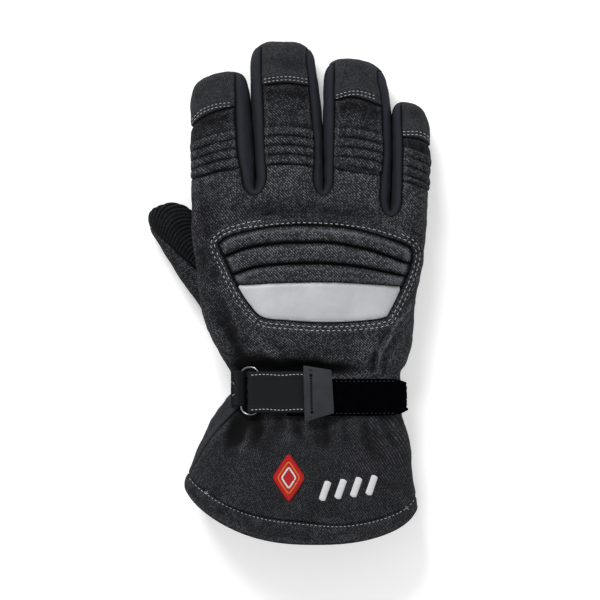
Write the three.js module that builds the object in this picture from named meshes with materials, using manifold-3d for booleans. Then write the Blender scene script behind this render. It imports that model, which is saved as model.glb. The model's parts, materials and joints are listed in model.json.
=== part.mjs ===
// A right-hand rescue glove with a gauntlet cuff, lying palm down with its fingers along +Y.
// Millimetres, +Z up. The origin is the middle of the glove's footprint, on the surface it lies on.
// Every soft piece is a hollow wall. Outer surfaces come from the tables of sections below, smoothed
// between their rows, and a wall is that surface and the same one moved inwards.

import * as THREE from "three";
import Module from "manifold-3d";

const wasm = await Module();
wasm.setup();

const { lerp, clamp, degToRad } = THREE.MathUtils;
const step = (value, low, high) => THREE.MathUtils.smoothstep(value, low, high);
const power = (value, exponent) => Math.sign(value) * Math.abs(value) ** exponent;

const WALL = 2.4; // shell fabric with its lining
const SIDE_WALL = 2.0; // stretch fabric between the fingers
const GAP = 0.3; // between pieces that are sewn together
const SQUARENESS = 2.5; // of every cross-section: 2 is an ellipse
const SUNK = 2; // how far the round underside would reach below the surface it is flattened on

// The hand and cuff, without the fingers. at: place along Y. left, right: the two edges.
// top: height of the crown. leftMid, rightMid: height of the widest line at either edge.
// base: height of the flattened underside. lift: how far the thumb raises the left underside.
const BODY = [
  { at: -142, left: -60.5, right: 71.7, top: 47, leftMid: 21, rightMid: 19, base: 0, lift: 0 },
  { at: -119, left: -59.6, right: 71.1, top: 47.5, leftMid: 21, rightMid: 19, base: 0, lift: 0 },
  { at: -109, left: -58.9, right: 69.6, top: 47, leftMid: 21, rightMid: 19, base: 0, lift: 0 },
  { at: -94, left: -54.6, right: 67.9, top: 45, leftMid: 21, rightMid: 19, base: 0, lift: 0 },
  { at: -80, left: -48.4, right: 65.8, top: 42, leftMid: 20.5, rightMid: 19, base: 1, lift: 0 },
  { at: -73, left: -44.2, right: 64.2, top: 38, leftMid: 19, rightMid: 18.5, base: 2.6, lift: 0 },
  { at: -69, left: -39.2, right: 62.8, top: 36.6, leftMid: 18, rightMid: 18.5, base: 3.4, lift: 0 },
  { at: -65, left: -33.2, right: 62.4, top: 36, leftMid: 17.5, rightMid: 18.5, base: 3.4, lift: 0 },
  { at: -61, left: -31.0, right: 62.4, top: 36, leftMid: 17.5, rightMid: 18.5, base: 3.4, lift: 0 },
  { at: -54, left: -30.0, right: 62.2, top: 36, leftMid: 17.5, rightMid: 18.5, base: 3.4, lift: 0 },
  { at: -45, left: -30.6, right: 61.8, top: 36, leftMid: 17.5, rightMid: 18.5, base: 3.4, lift: 0 },
  { at: -40, left: -35.2, right: 64.2, top: 38, leftMid: 20, rightMid: 18.5, base: 3.0, lift: 0 },
  { at: -27, left: -42.6, right: 67.8, top: 41.5, leftMid: 22, rightMid: 18.5, base: 0.6, lift: 3 },
  { at: -15, left: -47.9, right: 69.6, top: 43, leftMid: 24.5, rightMid: 18.5, base: 0, lift: 11 },
  { at: -4, left: -50.6, right: 71.0, top: 43.5, leftMid: 26.5, rightMid: 18.5, base: 0, lift: 17 },
  { at: 7, left: -51.6, right: 72.6, top: 43.5, leftMid: 27.5, rightMid: 18.5, base: 0, lift: 20 },
  { at: 29, left: -53.9, right: 75.7, top: 42.5, leftMid: 27.5, rightMid: 18.5, base: 0, lift: 20.5 },
  { at: 41, left: -55.2, right: 76.5, top: 41, leftMid: 26, rightMid: 18, base: 0, lift: 18 },
  { at: 52, left: -55.3, right: 77.0, top: 39, leftMid: 22, rightMid: 17, base: 0, lift: 9 },
  { at: 63, left: -55.0, right: 77.6, top: 37, leftMid: 17.5, rightMid: 16.2, base: 0, lift: 0 },
  { at: 80, left: -54.8, right: 78.0, top: 34, leftMid: 15, rightMid: 15, base: 0, lift: 0 },
];
const LIFT_FLAT = 13; // the lifted underside runs level this far in from the left edge
const LIFT_REACH = 31; // and is down on the surface this far in

// The digits. at: place along the digit. left, right: its edges. seamLeft, seamRight: where the
// back ends on the upper side. top, mid: heights of the crown and of the widest line.
// dome: where the tip starts to round off. tip: its end. slant: how far the end leans over.
// closes: share of the width that is left where the cap closes round the tip.
const FINGERS = {
  index: {
    rows: [
      { at: 20, left: -52.4, right: -19.0, seamLeft: -58, seamRight: -24.4, top: 40, mid: 27.5 },
      { at: 41, left: -55.0, right: -19.0, seamLeft: -58, seamRight: -24.4, top: 38, mid: 26 },
      { at: 52, left: -55.2, right: -19.1, seamLeft: -58, seamRight: -24.6, top: 37, mid: 22 },
      { at: 63, left: -55.0, right: -19.3, seamLeft: -58, seamRight: -26.0, top: 35, mid: 17.5 },
      { at: 80, left: -54.8, right: -20.3, seamLeft: -58, seamRight: -29.2, top: 32, mid: 15 },
      { at: 102, left: -55.0, right: -22.1, seamLeft: -58, seamRight: -30.2, top: 29.5, mid: 14 },
      { at: 112, left: -55.2, right: -23.2, seamLeft: -58, seamRight: -30.4, top: 29, mid: 14 },
    ],
    dome: 105, tip: 123.0, dullness: 2.9, slant: 0.18, closes: 0.62, backFrom: 46, backTo: 205,
    rib: { from: 68.5, to: 89, bow: 0.006, tilt: 0.22 },
  },
  middle: {
    rows: [
      { at: 20, left: -18.4, right: 18.4, seamLeft: -13.4, seamRight: 13.6, top: 43, mid: 19 },
      { at: 52, left: -18.7, right: 18.5, seamLeft: -13.4, seamRight: 13.6, top: 39, mid: 17.5 },
      { at: 63, left: -18.9, right: 18.5, seamLeft: -13.6, seamRight: 13.6, top: 37, mid: 17 },
      { at: 80, left: -19.4, right: 18.3, seamLeft: -14.4, seamRight: 13.6, top: 34, mid: 15.5 },
      { at: 102, left: -21.2, right: 17.2, seamLeft: -15.2, seamRight: 12.2, top: 31.5, mid: 14.5 },
      { at: 119, left: -21.9, right: 15.2, seamLeft: -16.0, seamRight: 10.4, top: 30, mid: 14 },
      { at: 128, left: -22.1, right: 14.0, seamLeft: -16.4, seamRight: 9.4, top: 29.5, mid: 14 },
    ],
    dome: 124, tip: 140.5, dullness: 2.8, slant: -0.03, closes: 0.82, backFrom: 46, backTo: 134,
    rib: { from: 71.5, to: 92.5, bow: 0.008, tilt: -0.05 },
  },
  ring: {
    rows: [
      { at: 20, left: 19.2, right: 55.0, seamLeft: 23.4, seamRight: 50.5, top: 41, mid: 18.5 },
      { at: 42, left: 19.2, right: 55.4, seamLeft: 23.4, seamRight: 50.5, top: 39.5, mid: 18 },
      { at: 52, left: 19.2, right: 55.7, seamLeft: 23.4, seamRight: 50.7, top: 38, mid: 17 },
      { at: 63, left: 19.2, right: 56.3, seamLeft: 23.6, seamRight: 51.0, top: 36, mid: 16.5 },
      { at: 80, left: 19.0, right: 56.8, seamLeft: 24.2, seamRight: 52.2, top: 33, mid: 15.5 },
      { at: 97, left: 18.8, right: 56.7, seamLeft: 24.4, seamRight: 52.0, top: 31, mid: 14.5 },
      { at: 109, left: 18.9, right: 55.6, seamLeft: 24.4, seamRight: 51.0, top: 30, mid: 14 },
      { at: 119, left: 19.2, right: 54.4, seamLeft: 24.4, seamRight: 49.2, top: 29.5, mid: 14 },
    ],
    dome: 112, tip: 130.4, dullness: 2.7, slant: -0.14, closes: 0.82, backFrom: 46, backTo: 134,
    rib: { from: 69.5, to: 91, bow: 0.008, tilt: -0.14 },
  },
  pinky: {
    rows: [
      { at: 20, left: 55.8, right: 75.0, seamLeft: 61.2, seamRight: 82, top: 38, mid: 18.5 },
      { at: 41, left: 56.2, right: 76.5, seamLeft: 61.4, seamRight: 82, top: 36.5, mid: 18 },
      { at: 52, left: 56.8, right: 77.0, seamLeft: 61.8, seamRight: 82, top: 35, mid: 17 },
      { at: 63, left: 57.2, right: 77.6, seamLeft: 62.2, seamRight: 82, top: 33.5, mid: 16.2 },
      { at: 80, left: 57.6, right: 78.0, seamLeft: 62.6, seamRight: 82, top: 31, mid: 15 },
      { at: 92, left: 57.3, right: 77.6, seamLeft: 62.2, seamRight: 82, top: 29, mid: 14 },
      { at: 100, left: 56.9, right: 77.0, seamLeft: 61.8, seamRight: 82, top: 28.5, mid: 14 },
    ],
    dome: 92, tip: 106, dullness: 2.9, slant: -0.2, closes: 0.62, backFrom: -25, backTo: 122,
    rib: { from: 59, to: 80, bow: 0.02, tilt: -0.3 },
  },
};
const ORDER = ["index", "middle", "ring", "pinky"];
const HAND_ROWS = [-47, -43, -39, -30, -18, -5, 10, 25, 40, 50]; // places that the hand's panels share
const RIBS = 4;
const RIB_HEIGHT = 1.3;
const CAP_PROUD = 0.7; // the fingertip caps lie over the finger backs

// Where one strip between two fingers turns round: the middle of its turn, and how deep the turn is
// at the seam and at the line where the two fingers touch.
const CROTCHES = [
  { between: ["index", "middle"], turn: 60.6, atSeam: 6.0, atTouch: 3.0 },
  { between: ["middle", "ring"], turn: 59.3, atSeam: 4.9, atTouch: 2.4 },
  { between: ["ring", "pinky"], turn: 48.1, atSeam: 5.5, atTouch: 2.8 },
];

// Lines across the fingers, as places along Y at each x.
const BACK_SEAM = [
  { at: -56, y: 63.5 }, { at: -40, y: 67 }, { at: -22, y: 70 }, { at: 0, y: 71 }, { at: 18, y: 70 },
  { at: 30, y: 68 }, { at: 45, y: 65.5 }, { at: 57, y: 64 }, { at: 66, y: 61.5 }, { at: 80, y: 56 },
];
const CAP_EDGE = {
  index: [{ at: -56, y: 92 }, { at: -49, y: 98.4 }, { at: -40, y: 101.5 }, { at: -30, y: 102.4 }],
  middle: [{ at: -17, y: 115 }, { at: -2, y: 116.6 }, { at: 12, y: 115 }],
  ring: [{ at: 24, y: 106 }, { at: 36, y: 108.6 }, { at: 52, y: 104.6 }],
  pinky: [{ at: 61, y: 86 }, { at: 70, y: 86.2 }, { at: 76, y: 84.5 }, { at: 79, y: 81 }],
};
// How far the knuckles' ridges reach back from the finger seams over the hand.
const KNUCKLE_LINE = [
  { at: -56, y: 54 }, { at: -19, y: 53 }, { at: 19, y: 52.5 }, { at: 56, y: 41 }, { at: 80, y: 39 },
];
const KNUCKLE_FADE = 24;

// The thumb lies under the left edge. Its own frame: at runs to the tip, left and right run across.
const THUMB_ALONG = new THREE.Vector2(-0.53, 0.848);
const THUMB_ACROSS = new THREE.Vector2(0.848, 0.53);
const THUMB = {
  rows: [
    { at: -14, left: -43, right: -12, top: 23, mid: 12, seam: 84 },
    { at: 5, left: -45.4, right: -14, top: 22, mid: 11, seam: 88 },
    { at: 20, left: -46.8, right: -15.8, top: 21, mid: 10.5, seam: 92 },
    { at: 40, left: -48.0, right: -18.2, top: 20, mid: 10, seam: 104 },
    { at: 55, left: -48.0, right: -19.6, top: 19.5, mid: 9.6, seam: 124 },
    { at: 64, left: -48.0, right: -20.4, top: 19, mid: 9.5, seam: 146 },
    { at: 70, left: -48.0, right: -21.0, top: 19, mid: 9.5, seam: 165 },
  ],
  dome: 61, tip: 80, dullness: 2.5, slant: -0.3, backEnd: 69, backTo: 235,
};

// The cuff's hem and the seams of its panels.
const HEM = {
  low: -141.2, lowX: 14.5, bend: 5.7e-4, bendPower: 2.5, cornerRise: 4, cornerPower: 16,
  width: 10.4, proud: 0.35,
};
const WRIST_SEAM = -55.7; // hidden under the strap
const RIGHT_SEAM = -25; // degrees round the section
const LEFT_SEAM = 205;
const CUFF_SEAM = [
  { at: -131, angle: 178 }, { at: -100, angle: 167 }, { at: -88, angle: 159 }, { at: -78, angle: 152 },
  { at: -66, angle: 140 }, { at: -55, angle: 130 },
];

// Folds of the fabric: a valley (negative height) or ridge from one point to another in plan.
const FOLDS = [
  { x1: -24, y1: -70, x2: -37, y2: -88, width: 3.6, height: -2.6 },
  { x1: -31, y1: -68, x2: -45, y2: -88, width: 3.2, height: 1.4 },
  { x1: -9, y1: -70, x2: -13, y2: -92, width: 4.5, height: -1.6 },
  { x1: 17, y1: -70, x2: 19, y2: -90, width: 5.0, height: -1.5 },
  { x1: 41, y1: -70, x2: 47, y2: -94, width: 4.5, height: -1.8 },
  { x1: -46, y1: -41, x2: 40, y2: -43, width: 5.0, height: -3.0 },
  { x1: -23, y1: -57, x2: -29, y2: -84, width: 11, height: -4.4 },
  { x1: 47, y1: -33, x2: 46, y2: -46, width: 3.0, height: -1.6 },
  { x1: 69, y1: -6, x2: 47, y2: -36, width: 2.4, height: 1.3 },
  { x1: -42, y1: -10, x2: -23, y2: -36, width: 4.5, height: -2.0 },
];

// The window in the hand's back that shows the knuckle pad, as a closed outline in plan.
const WINDOW = [
  [-39.7, 28.6], [-37.4, 32.4], [-29.8, 35.1], [-17.5, 37.0], [0, 37.6], [17, 37.3], [32, 35.9],
  [48, 32.3], [62.9, 27.3], [67.6, 23.6], [67.9, 18.3], [64.6, 7.6], [56.4, -9.6], [51.5, -14.6],
  [32, -16.7], [15, -16.9], [-1, -15.9], [-15, -14.2], [-22.5, -7.2], [-29, 2.7], [-34.8, 15.0],
];
// Lower edge of each padded ridge, as places along Y at each x. The strip starts at the last one.
const GROOVES = [
  [{ at: -42, y: 38 }, { at: 0, y: 38.5 }, { at: 30, y: 37 }, { at: 69, y: 25 }],
  [
    { at: -36, y: 19.6 }, { at: -23, y: 24.6 }, { at: 0, y: 27.5 }, { at: 19, y: 27.7 }, { at: 40, y: 24.4 },
    { at: 65, y: 16.2 },
  ],
  [
    { at: -32, y: 9.6 }, { at: -17.5, y: 14.2 }, { at: 0, y: 15.8 }, { at: 15, y: 16.2 }, { at: 32, y: 15 },
    { at: 65, y: 8.8 },
  ],
  [{ at: -30, y: 3.6 }, { at: 0, y: 5.1 }, { at: 23, y: 5.3 }, { at: 48, y: 4 }, { at: 62, y: 3 }],
];
const PAD = { recess: 1.5, ridge: 4.0, thick: 2.2, stripThick: 0.9, stripGap: 0.5 };

// The wrist strap and its fittings. Rises are heights above the fabric that they lie on.
// The strap comes out from under the tab, folds round the ring at fold and lies back on itself.
const STRAP = {
  y: -55.3, width: 23, thick: 1.3, rise: 0.8, lowEnd: 2, fold: -21.4, foldRise: 4.8,
  restRise: 3.3, end: 20.5,
};
const TAPE = { y: -58.2, width: 20.6, thick: 2.1, rise: 0.6, from: 2.6, underTo: 26 };
const RING = { y: -55.2, halfY: 13.7, wire: 0.8, corner: 1.8, rise: 3.45, right: -18.6, left: -26.6 };
const LOOP = { y: -53.4, width: 19.6, thick: 1.3, rise: 1.0, sewnAt: 160, radius: 2.45 };
const TAB = {
  left: 7.5, right: 24.4, halfLeft: 15.8, halfRight: 12.4, thick: 2.4, rise: 5.0,
  slotX: 11.8, slotHalf: 11, slotDeep: 0.9,
};

// The embroidered marks on the cuff: a plain diamond patch and four slanting bars beside it.
const PATCH = { x: -0.6, y: -102.4, halfX: 9.4, halfY: 14, thick: 0.8 };
const BARS = {
  count: 4, x: 17.4, y: -115.4, pitch: 8.6, rise: 1, width: 4, height: 11.6, lean: 2.2, thick: 0.8,
};

// How many cells the grid of each large panel has across.
const CELLS = { handBack: 17, palm: 16, cuffBack: 15, cuffUnder: 12, hem: 32, pad: 8, tape: 15 };
// Places along the fingers where the palm has a row, and shares of its width left at a digit's tip.
const FINGER_ROWS = [57, 64, 88, 110, 120, 130, 141];
const TIP_SHARES = [0.56, 0.3, 0];

/** A smooth value between the rows of a table, which are in order of the column "at". */
function smooth(rows, key, at) {
  const last = rows.length - 1;
  if (at <= rows[0].at) return rows[0][key];
  if (at >= rows[last].at) return rows[last][key];
  let i = 0;
  while (rows[i + 1].at < at) i++;
  const rise = (k) => (rows[k + 1][key] - rows[k][key]) / (rows[k + 1].at - rows[k].at);
  const slope = (k) => {
    if (k === 0) return rise(0);
    if (k === last) return rise(last - 1);
    const before = rise(k - 1);
    const after = rise(k);
    return before * after <= 0 ? 0 : (2 * before * after) / (before + after);
  };
  const span = rows[i + 1].at - rows[i].at;
  const t = (at - rows[i].at) / span;
  const value = (2 * t ** 3 - 3 * t ** 2 + 1) * rows[i][key] + (3 * t ** 2 - 2 * t ** 3) * rows[i + 1][key];
  return value + span * ((t ** 3 - 2 * t ** 2 + t) * slope(i) + (t ** 3 - t ** 2) * slope(i + 1));
}

/** One section of a digit: its centre, half width and heights, with the tip rounded off. */
function digitSection(digit, at) {
  const row = (key) => smooth(digit.rows, key, Math.min(at, digit.tip));
  const past = clamp((at - digit.dome) / (digit.tip - digit.dome), 0, 1);
  const round = (1 - past ** digit.dullness) ** (1 / digit.dullness);
  const left = row("left");
  const right = row("right");
  return {
    cx: (left + right) / 2, half: ((right - left) / 2) * round, round,
    top: row("top"), mid: row("mid"), seamLeft: row("seamLeft"), seamRight: row("seamRight"),
  };
}

/** A point on a digit's outside, at an angle round its section: 0 is right and 90 degrees is up.
 *  flat: with its underside flattened where it lies. */
function digitPoint(digit, at, angle, flat = true) {
  const s = digitSection(digit, at);
  const rise = power(Math.sin(angle), 2 / SQUARENESS) * s.round;
  const x = s.cx + s.half * power(Math.cos(angle), 2 / SQUARENESS);
  const z = s.mid + rise * (rise > 0 ? s.top - s.mid : s.mid + SUNK);
  const lean = digit.slant * step(at, digit.dome - 15, digit.dome + 2);
  return new THREE.Vector3(x, at + lean * (x - s.cx), flat ? Math.max(z, 0) : z);
}

/** Angle round a digit's section of the point with a given x, on the upper side. */
function angleAt(section, x, least = 8) {
  const share = clamp((x - section.cx) / Math.max(section.half, 0.01), -1, 1);
  const angle = Math.acos(power(share, SQUARENESS / 2));
  return clamp(angle, degToRad(least), Math.PI - degToRad(least));
}

function bodySection(y) {
  const row = (key) => smooth(BODY, key, y);
  const left = row("left");
  const right = row("right");
  return {
    left, cx: (left + right) / 2, half: (right - left) / 2, top: row("top"),
    leftMid: row("leftMid"), rightMid: row("rightMid"), base: row("base"), lift: row("lift"),
  };
}

const arch = (share) => Math.max(0, 1 - Math.abs(share) ** SQUARENESS) ** (1 / SQUARENESS);

/** Height of the finger backs at x, with a level valley between the seams of two fingers. */
function fingersTop(x, y) {
  const sections = ORDER.map((name) => digitSection(FINGERS[name], Math.min(y, FINGERS[name].dome)));
  const height = (s, at) => s.mid + (s.top - s.mid) * arch((at - s.cx) / s.half);
  for (let i = 0; i < sections.length; i++) {
    const s = sections[i];
    if (x > s.seamRight && i < sections.length - 1) {
      const next = sections[i + 1];
      if (x >= next.seamLeft) continue;
      const share = (x - s.seamRight) / (next.seamLeft - s.seamRight);
      return lerp(height(s, s.seamRight), height(next, next.seamLeft), share);
    }
    return height(s, x);
  }
  return 0;
}

/** Height of the hand's upper side at x and y. */
function handTop(x, y, section = bodySection(y)) {
  const share = clamp((x - section.cx) / section.half, -1, 1);
  const mid = section.rightMid + (section.leftMid - section.rightMid) * ((1 - share) / 2) ** 2;
  const crown = arch(share);
  const body = mid + (section.top - mid) * crown + foldHeight(x, y) * Math.min(1, 1.6 * crown);
  const line = smooth(KNUCKLE_LINE, "y", x);
  const blend = step(y, line - KNUCKLE_FADE, line);
  return blend > 0 ? lerp(body, fingersTop(x, y), blend) : body;
}

/** Height of the hand's underside at x and y. */
function handUnder(x, y, section = bodySection(y), flat = true) {
  const share = clamp((x - section.cx) / section.half, -1, 1);
  const mid = section.rightMid + (section.leftMid - section.rightMid) * ((1 - share) / 2) ** 2;
  const inward = x - section.left;
  const low = section.lift * (1 - step(inward, LIFT_FLAT, LIFT_REACH)) - SUNK;
  const under = mid - (mid - low) * arch(share);
  return flat ? Math.max(under, section.base) : under;
}

/** A point on the outside of the hand or cuff, at an angle round its section. */
function handPoint(y, angle, flat = true) {
  const section = bodySection(y);
  const x = section.cx + section.half * power(Math.cos(angle), 2 / SQUARENESS);
  const z = Math.sin(angle) >= 0 ? handTop(x, y, section) : handUnder(x, y, section, flat);
  return new THREE.Vector3(x, y, z);
}

const handNormal = (y, angle) => normalOf((a, b) => handPoint(a, b, false), y, angle);

/** How far the folds of the fabric stand out or in at a point of the upper side. */
function foldHeight(x, y) {
  let height = 0;
  for (const fold of FOLDS) {
    const dx = fold.x2 - fold.x1;
    const dy = fold.y2 - fold.y1;
    const long = Math.hypot(dx, dy);
    const along = ((x - fold.x1) * dx + (y - fold.y1) * dy) / long ** 2;
    const off = ((x - fold.x1) * dy - (y - fold.y1) * dx) / long;
    const fade = step(along, 0, 0.35) * (1 - step(along, 0.6, 1.1));
    height += fold.height * fade * Math.exp(-((off / fold.width) ** 2));
  }
  return height;
}

/** Unit normal of a surface function of two values, by small steps either way. */
function normalOf(surface, a, b, stepA = 0.05, stepB = 0.004) {
  const da = surface(a + stepA, b).sub(surface(a - stepA, b));
  const db = surface(a, b + stepB).sub(surface(a, b - stepB));
  return da.cross(db).normalize();
}

const keyOf = (p) => `${p.x.toFixed(4)},${p.y.toFixed(4)},${p.z.toFixed(4)}`;

/** A closed solid between an outer and an inner grid of points. here(i, j) says which cells are there. */
function wallSolid(outer, inner, ring = false, here = () => true) {
  const rows = outer.length - 1;
  const columns = ring ? outer[0].length : outer[0].length - 1;
  const wrap = (j) => (ring ? j % outer[0].length : j);
  const index = new Map();
  const positions = [];
  const vertex = (p) => {
    const key = keyOf(p);
    if (!index.has(key)) {
      index.set(key, positions.length / 3);
      positions.push(p.x, p.y, p.z);
    }
    return index.get(key);
  };
  const triangles = [];
  const face = (a, b, c) => {
    if (a !== b && b !== c && c !== a) triangles.push(a, b, c);
  };
  const quad = (a, b, c, d) => {
    const ids = [a, b, c, d].map(vertex);
    face(ids[0], ids[1], ids[2]);
    face(ids[0], ids[2], ids[3]);
  };
  const present = (i, j) => {
    if (i < 0 || i >= rows) return false;
    if (!ring && (j < 0 || j >= columns)) return false;
    return here(i, (j + columns) % columns);
  };
  for (let i = 0; i < rows; i++) {
    for (let j = 0; j < columns; j++) {
      if (!present(i, j)) continue;
      const k = wrap(j + 1);
      quad(outer[i][j], outer[i][k], outer[i + 1][k], outer[i + 1][j]);
      quad(inner[i][j], inner[i + 1][j], inner[i + 1][k], inner[i][k]);
      if (!present(i - 1, j)) quad(outer[i][j], inner[i][j], inner[i][k], outer[i][k]);
      if (!present(i + 1, j)) quad(outer[i + 1][k], inner[i + 1][k], inner[i + 1][j], outer[i + 1][j]);
      if (!present(i, j - 1)) quad(outer[i + 1][j], inner[i + 1][j], inner[i][j], outer[i][j]);
      if (!present(i, j + 1)) quad(outer[i][k], inner[i][k], inner[i + 1][k], outer[i + 1][k]);
    }
  }
  return solidFrom(positions, triangles);
}

/** A manifold solid from plain arrays, turned right side out if need be. */
function solidFrom(positions, triangles) {
  const vertProperties = new Float32Array(positions);
  const make = (list) => {
    return new wasm.Manifold(new wasm.Mesh({ numProp: 3, vertProperties, triVerts: new Uint32Array(list) }));
  };
  let volume = 0;
  const at = (i) => new THREE.Vector3().fromArray(positions, 3 * i);
  for (let i = 0; i < triangles.length; i += 3)
    volume += at(triangles[i]).dot(at(triangles[i + 1]).cross(at(triangles[i + 2])));
  if (volume >= 0) return make(triangles);
  const turned = [];
  for (let i = 0; i < triangles.length; i += 3) {
    turned.push(triangles[i], triangles[i + 2], triangles[i + 1]);
  }
  return make(turned);
}

/** A three.js geometry as a manifold solid. */
function solidOf(geometry) {
  const source = geometry.index ? geometry.toNonIndexed() : geometry;
  const place = source.getAttribute("position");
  const index = new Map();
  const positions = [];
  const ids = [];
  for (let i = 0; i < place.count; i++) {
    const p = new THREE.Vector3().fromBufferAttribute(place, i);
    const key = keyOf(p);
    if (!index.has(key)) {
      index.set(key, positions.length / 3);
      positions.push(p.x, p.y, p.z);
    }
    ids.push(index.get(key));
  }
  const triangles = [];
  for (let i = 0; i < ids.length; i += 3) {
    const [a, b, c] = ids.slice(i, i + 3);
    if (a !== b && b !== c && c !== a) triangles.push(a, b, c);
  }
  return solidFrom(positions, triangles);
}

/** The largest body of a solid, without the crumbs that a cut can leave. */
function largest(solid) {
  return solid.decompose().reduce((best, one) => (one.volume() > best.volume() ? one : best));
}

/** A grid of values from a first to a last, both included. */
function spread(first, last, count) {
  return Array.from({ length: count + 1 }, (_, i) => lerp(first, last, i / count));
}

/** A prism of a closed outline in plan, from one height to another. */
function prism(outline, low = -10, high = 80) {
  const shape = new THREE.Shape(outline.map(([x, y]) => new THREE.Vector2(x, y)));
  const geometry = new THREE.ExtrudeGeometry(shape, { depth: high - low, bevelEnabled: false });
  geometry.translate(0, 0, low);
  return solidOf(geometry);
}

/** A closed outline moved outwards by a distance, corner by corner. */
function grown(outline, distance) {
  const count = outline.length;
  const area = outline.reduce((sum, [x, y], i) => {
    const [nx, ny] = outline[(i + 1) % count];
    return sum + x * ny - nx * y;
  }, 0);
  const side = Math.sign(area);
  return outline.map(([x, y], i) => {
    const [px, py] = outline[(i + count - 1) % count];
    const [nx, ny] = outline[(i + 1) % count];
    const before = new THREE.Vector2(x - px, y - py).normalize();
    const after = new THREE.Vector2(nx - x, ny - y).normalize();
    const out = new THREE.Vector2(before.y + after.y, -before.x - after.x).normalize();
    const square = Math.max(0.5, out.dot(new THREE.Vector2(before.y, -before.x)));
    return [x + (side * distance * out.x) / square, y + (side * distance * out.y) / square];
  });
}

/** Outer and inner grids over a surface function of (a, b), at given pairs, then closed into a wall. */
function wallOver(surface, pairs, options = {}) {
  const { wall = WALL, fat = 0, detail = () => 0, ring = false, here, normal } = options;
  const outer = [];
  const inner = [];
  for (const row of pairs) {
    const outerRow = [];
    const innerRow = [];
    for (const [a, b] of row) {
      const point = surface(a, b);
      const out = normal ? normal(a, b) : normalOf(surface, a, b);
      outerRow.push(point.clone().addScaledVector(out, detail(point, a, b) + fat));
      innerRow.push(point.clone().addScaledVector(out, -wall - fat));
    }
    outer.push(outerRow);
    inner.push(innerRow);
  }
  return wallSolid(outer, inner, ring, here);
}

const cut = (solid, ...tools) => largest(tools.reduce((left, tool) => left.subtract(tool), solid));

// Fingers.

/** Height of the stretch ribs on a finger's back, as an extra to its surface. */
function ribHeight(digit, point) {
  const s = digitSection(digit, Math.min(point.y, digit.dome));
  const off = point.x - s.cx;
  const line = point.y + digit.rib.bow * off * off - digit.rib.tilt * off;
  const share = ((line - digit.rib.from) / (digit.rib.to - digit.rib.from)) * RIBS;
  if (share < 0 || share > RIBS) return 0;
  return RIB_HEIGHT * Math.sqrt(Math.max(0, 1 - (2 * (share % 1) - 1) ** 2));
}

const fingerSurface = (digit) => (at, angle) => digitPoint(digit, at, angle);

/** Normal of a digit's surface, pointing out, and along the digit at its very tip. */
function fingerNormal(digit, at, angle) {
  if (at > digit.tip - 0.05) return new THREE.Vector3(0, 1, 0);
  return normalOf((a, b) => digitPoint(digit, a, b, false), at, angle);
}

/** Angles on a digit's section where its back ends, moved in by a margin in millimetres. */
function backAngles(digit, at, margin) {
  const s = digitSection(digit, at);
  const turn = margin / Math.max(4, (s.half + s.top - s.mid) / 2);
  const right = digit.backFrom < 0 ? degToRad(digit.backFrom) : angleAt(s, s.seamRight);
  const left = digit.backTo > 180 ? degToRad(digit.backTo) : angleAt(s, s.seamLeft);
  return [right + turn, left - turn];
}

/** Place along a digit where the given share of its dome's width is left. */
function domeAt(digit, share) {
  return digit.dome + (digit.tip - digit.dome) * (1 - share ** digit.dullness) ** (1 / digit.dullness);
}

/** Shares of the dome's width at which the cap and the side strips have a row. */
const domeShares = (digit) => [lerp(digit.closes, 1, 0.5), 0.985];

/** Place along a finger where its cap closes round the whole tip. */
const capStart = (name) => domeAt(FINGERS[name], FINGERS[name].closes);

function fingerBack(name, fat = 0) {
  const digit = FINGERS[name];
  const columns = name === "index" ? 7 : 5;
  const rowsHere = [0];
  for (let i = 0; i <= RIBS * 2; i++) rowsHere.push(0.05 + (i / (RIBS * 2)) * 0.58);
  rowsHere.push(1);
  const pairs = rowsHere.map((share) =>
    spread(0, 1, columns).map((across) => {
      let at = lerp(70, 100, share);
      let angle = 0;
      for (let i = 0; i < 6; i++) {
        const [right, left] = backAngles(digit, at, 0.8 * GAP - fat);
        angle = lerp(right, left, across);
        const x = digitPoint(digit, at, angle).x;
        const from = smooth(BACK_SEAM, "y", x) + GAP - fat;
        const to = smooth(CAP_EDGE[name], "y", x) - GAP / 2 + fat;
        at = lerp(from, to, share);
      }
      return [at, angle];
    }),
  );
  return wallOver(fingerSurface(digit), pairs, {
    fat, normal: (at, angle) => fingerNormal(digit, at, angle), detail: (point) => ribHeight(digit, point),
  });
}

/** A fingertip cap: the tip's dome, and the back from the cap's edge to the dome. */
function fingerCap(name, fat = 0) {
  const digit = FINGERS[name];
  const across = name === "index" ? 7 : 5;
  const under = 13 - across;
  const from = capStart(name) + GAP / 2 - fat;
  const domeRows = domeShares(digit).map((share) => domeAt(digit, share));
  const along = [0, 1, 2, 3];
  const pairs = [];
  const ringAngles = (at, margin) => {
    const [right, left] = backAngles(digit, at, margin);
    const upper = spread(right, left, across);
    const lower = spread(left, right + 2 * Math.PI, under).slice(1, -1);
    return [...upper, ...lower];
  };
  for (const share of along) {
    const row = [];
    for (let j = 0; j < across + under; j++) {
      let at = from;
      let angle = 0;
      for (let i = 0; i < 6; i++) {
        angle = ringAngles(at, GAP / 2 - fat)[j];
        const x = digitPoint(digit, at, angle).x;
        const edge = smooth(CAP_EDGE[name], "y", x) + GAP / 2 - fat;
        at = [edge, domeRows[1], domeRows[0], from][share];
      }
      row.push([at, angle]);
    }
    pairs.push(row);
  }
  for (const share of TIP_SHARES) {
    const at = Math.max(from + 0.4, domeAt(digit, share));
    const angles = ringAngles(from, GAP / 2 - fat);
    pairs.push(angles.map((angle) => [at, angle]));
  }
  return wallOver(fingerSurface(digit), pairs, {
    fat, ring: true, detail: () => CAP_PROUD,
    normal: (at, angle) => fingerNormal(digit, at, angle),
    here: (i, j) => i >= along.length - 1 || j < across,
  });
}

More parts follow.
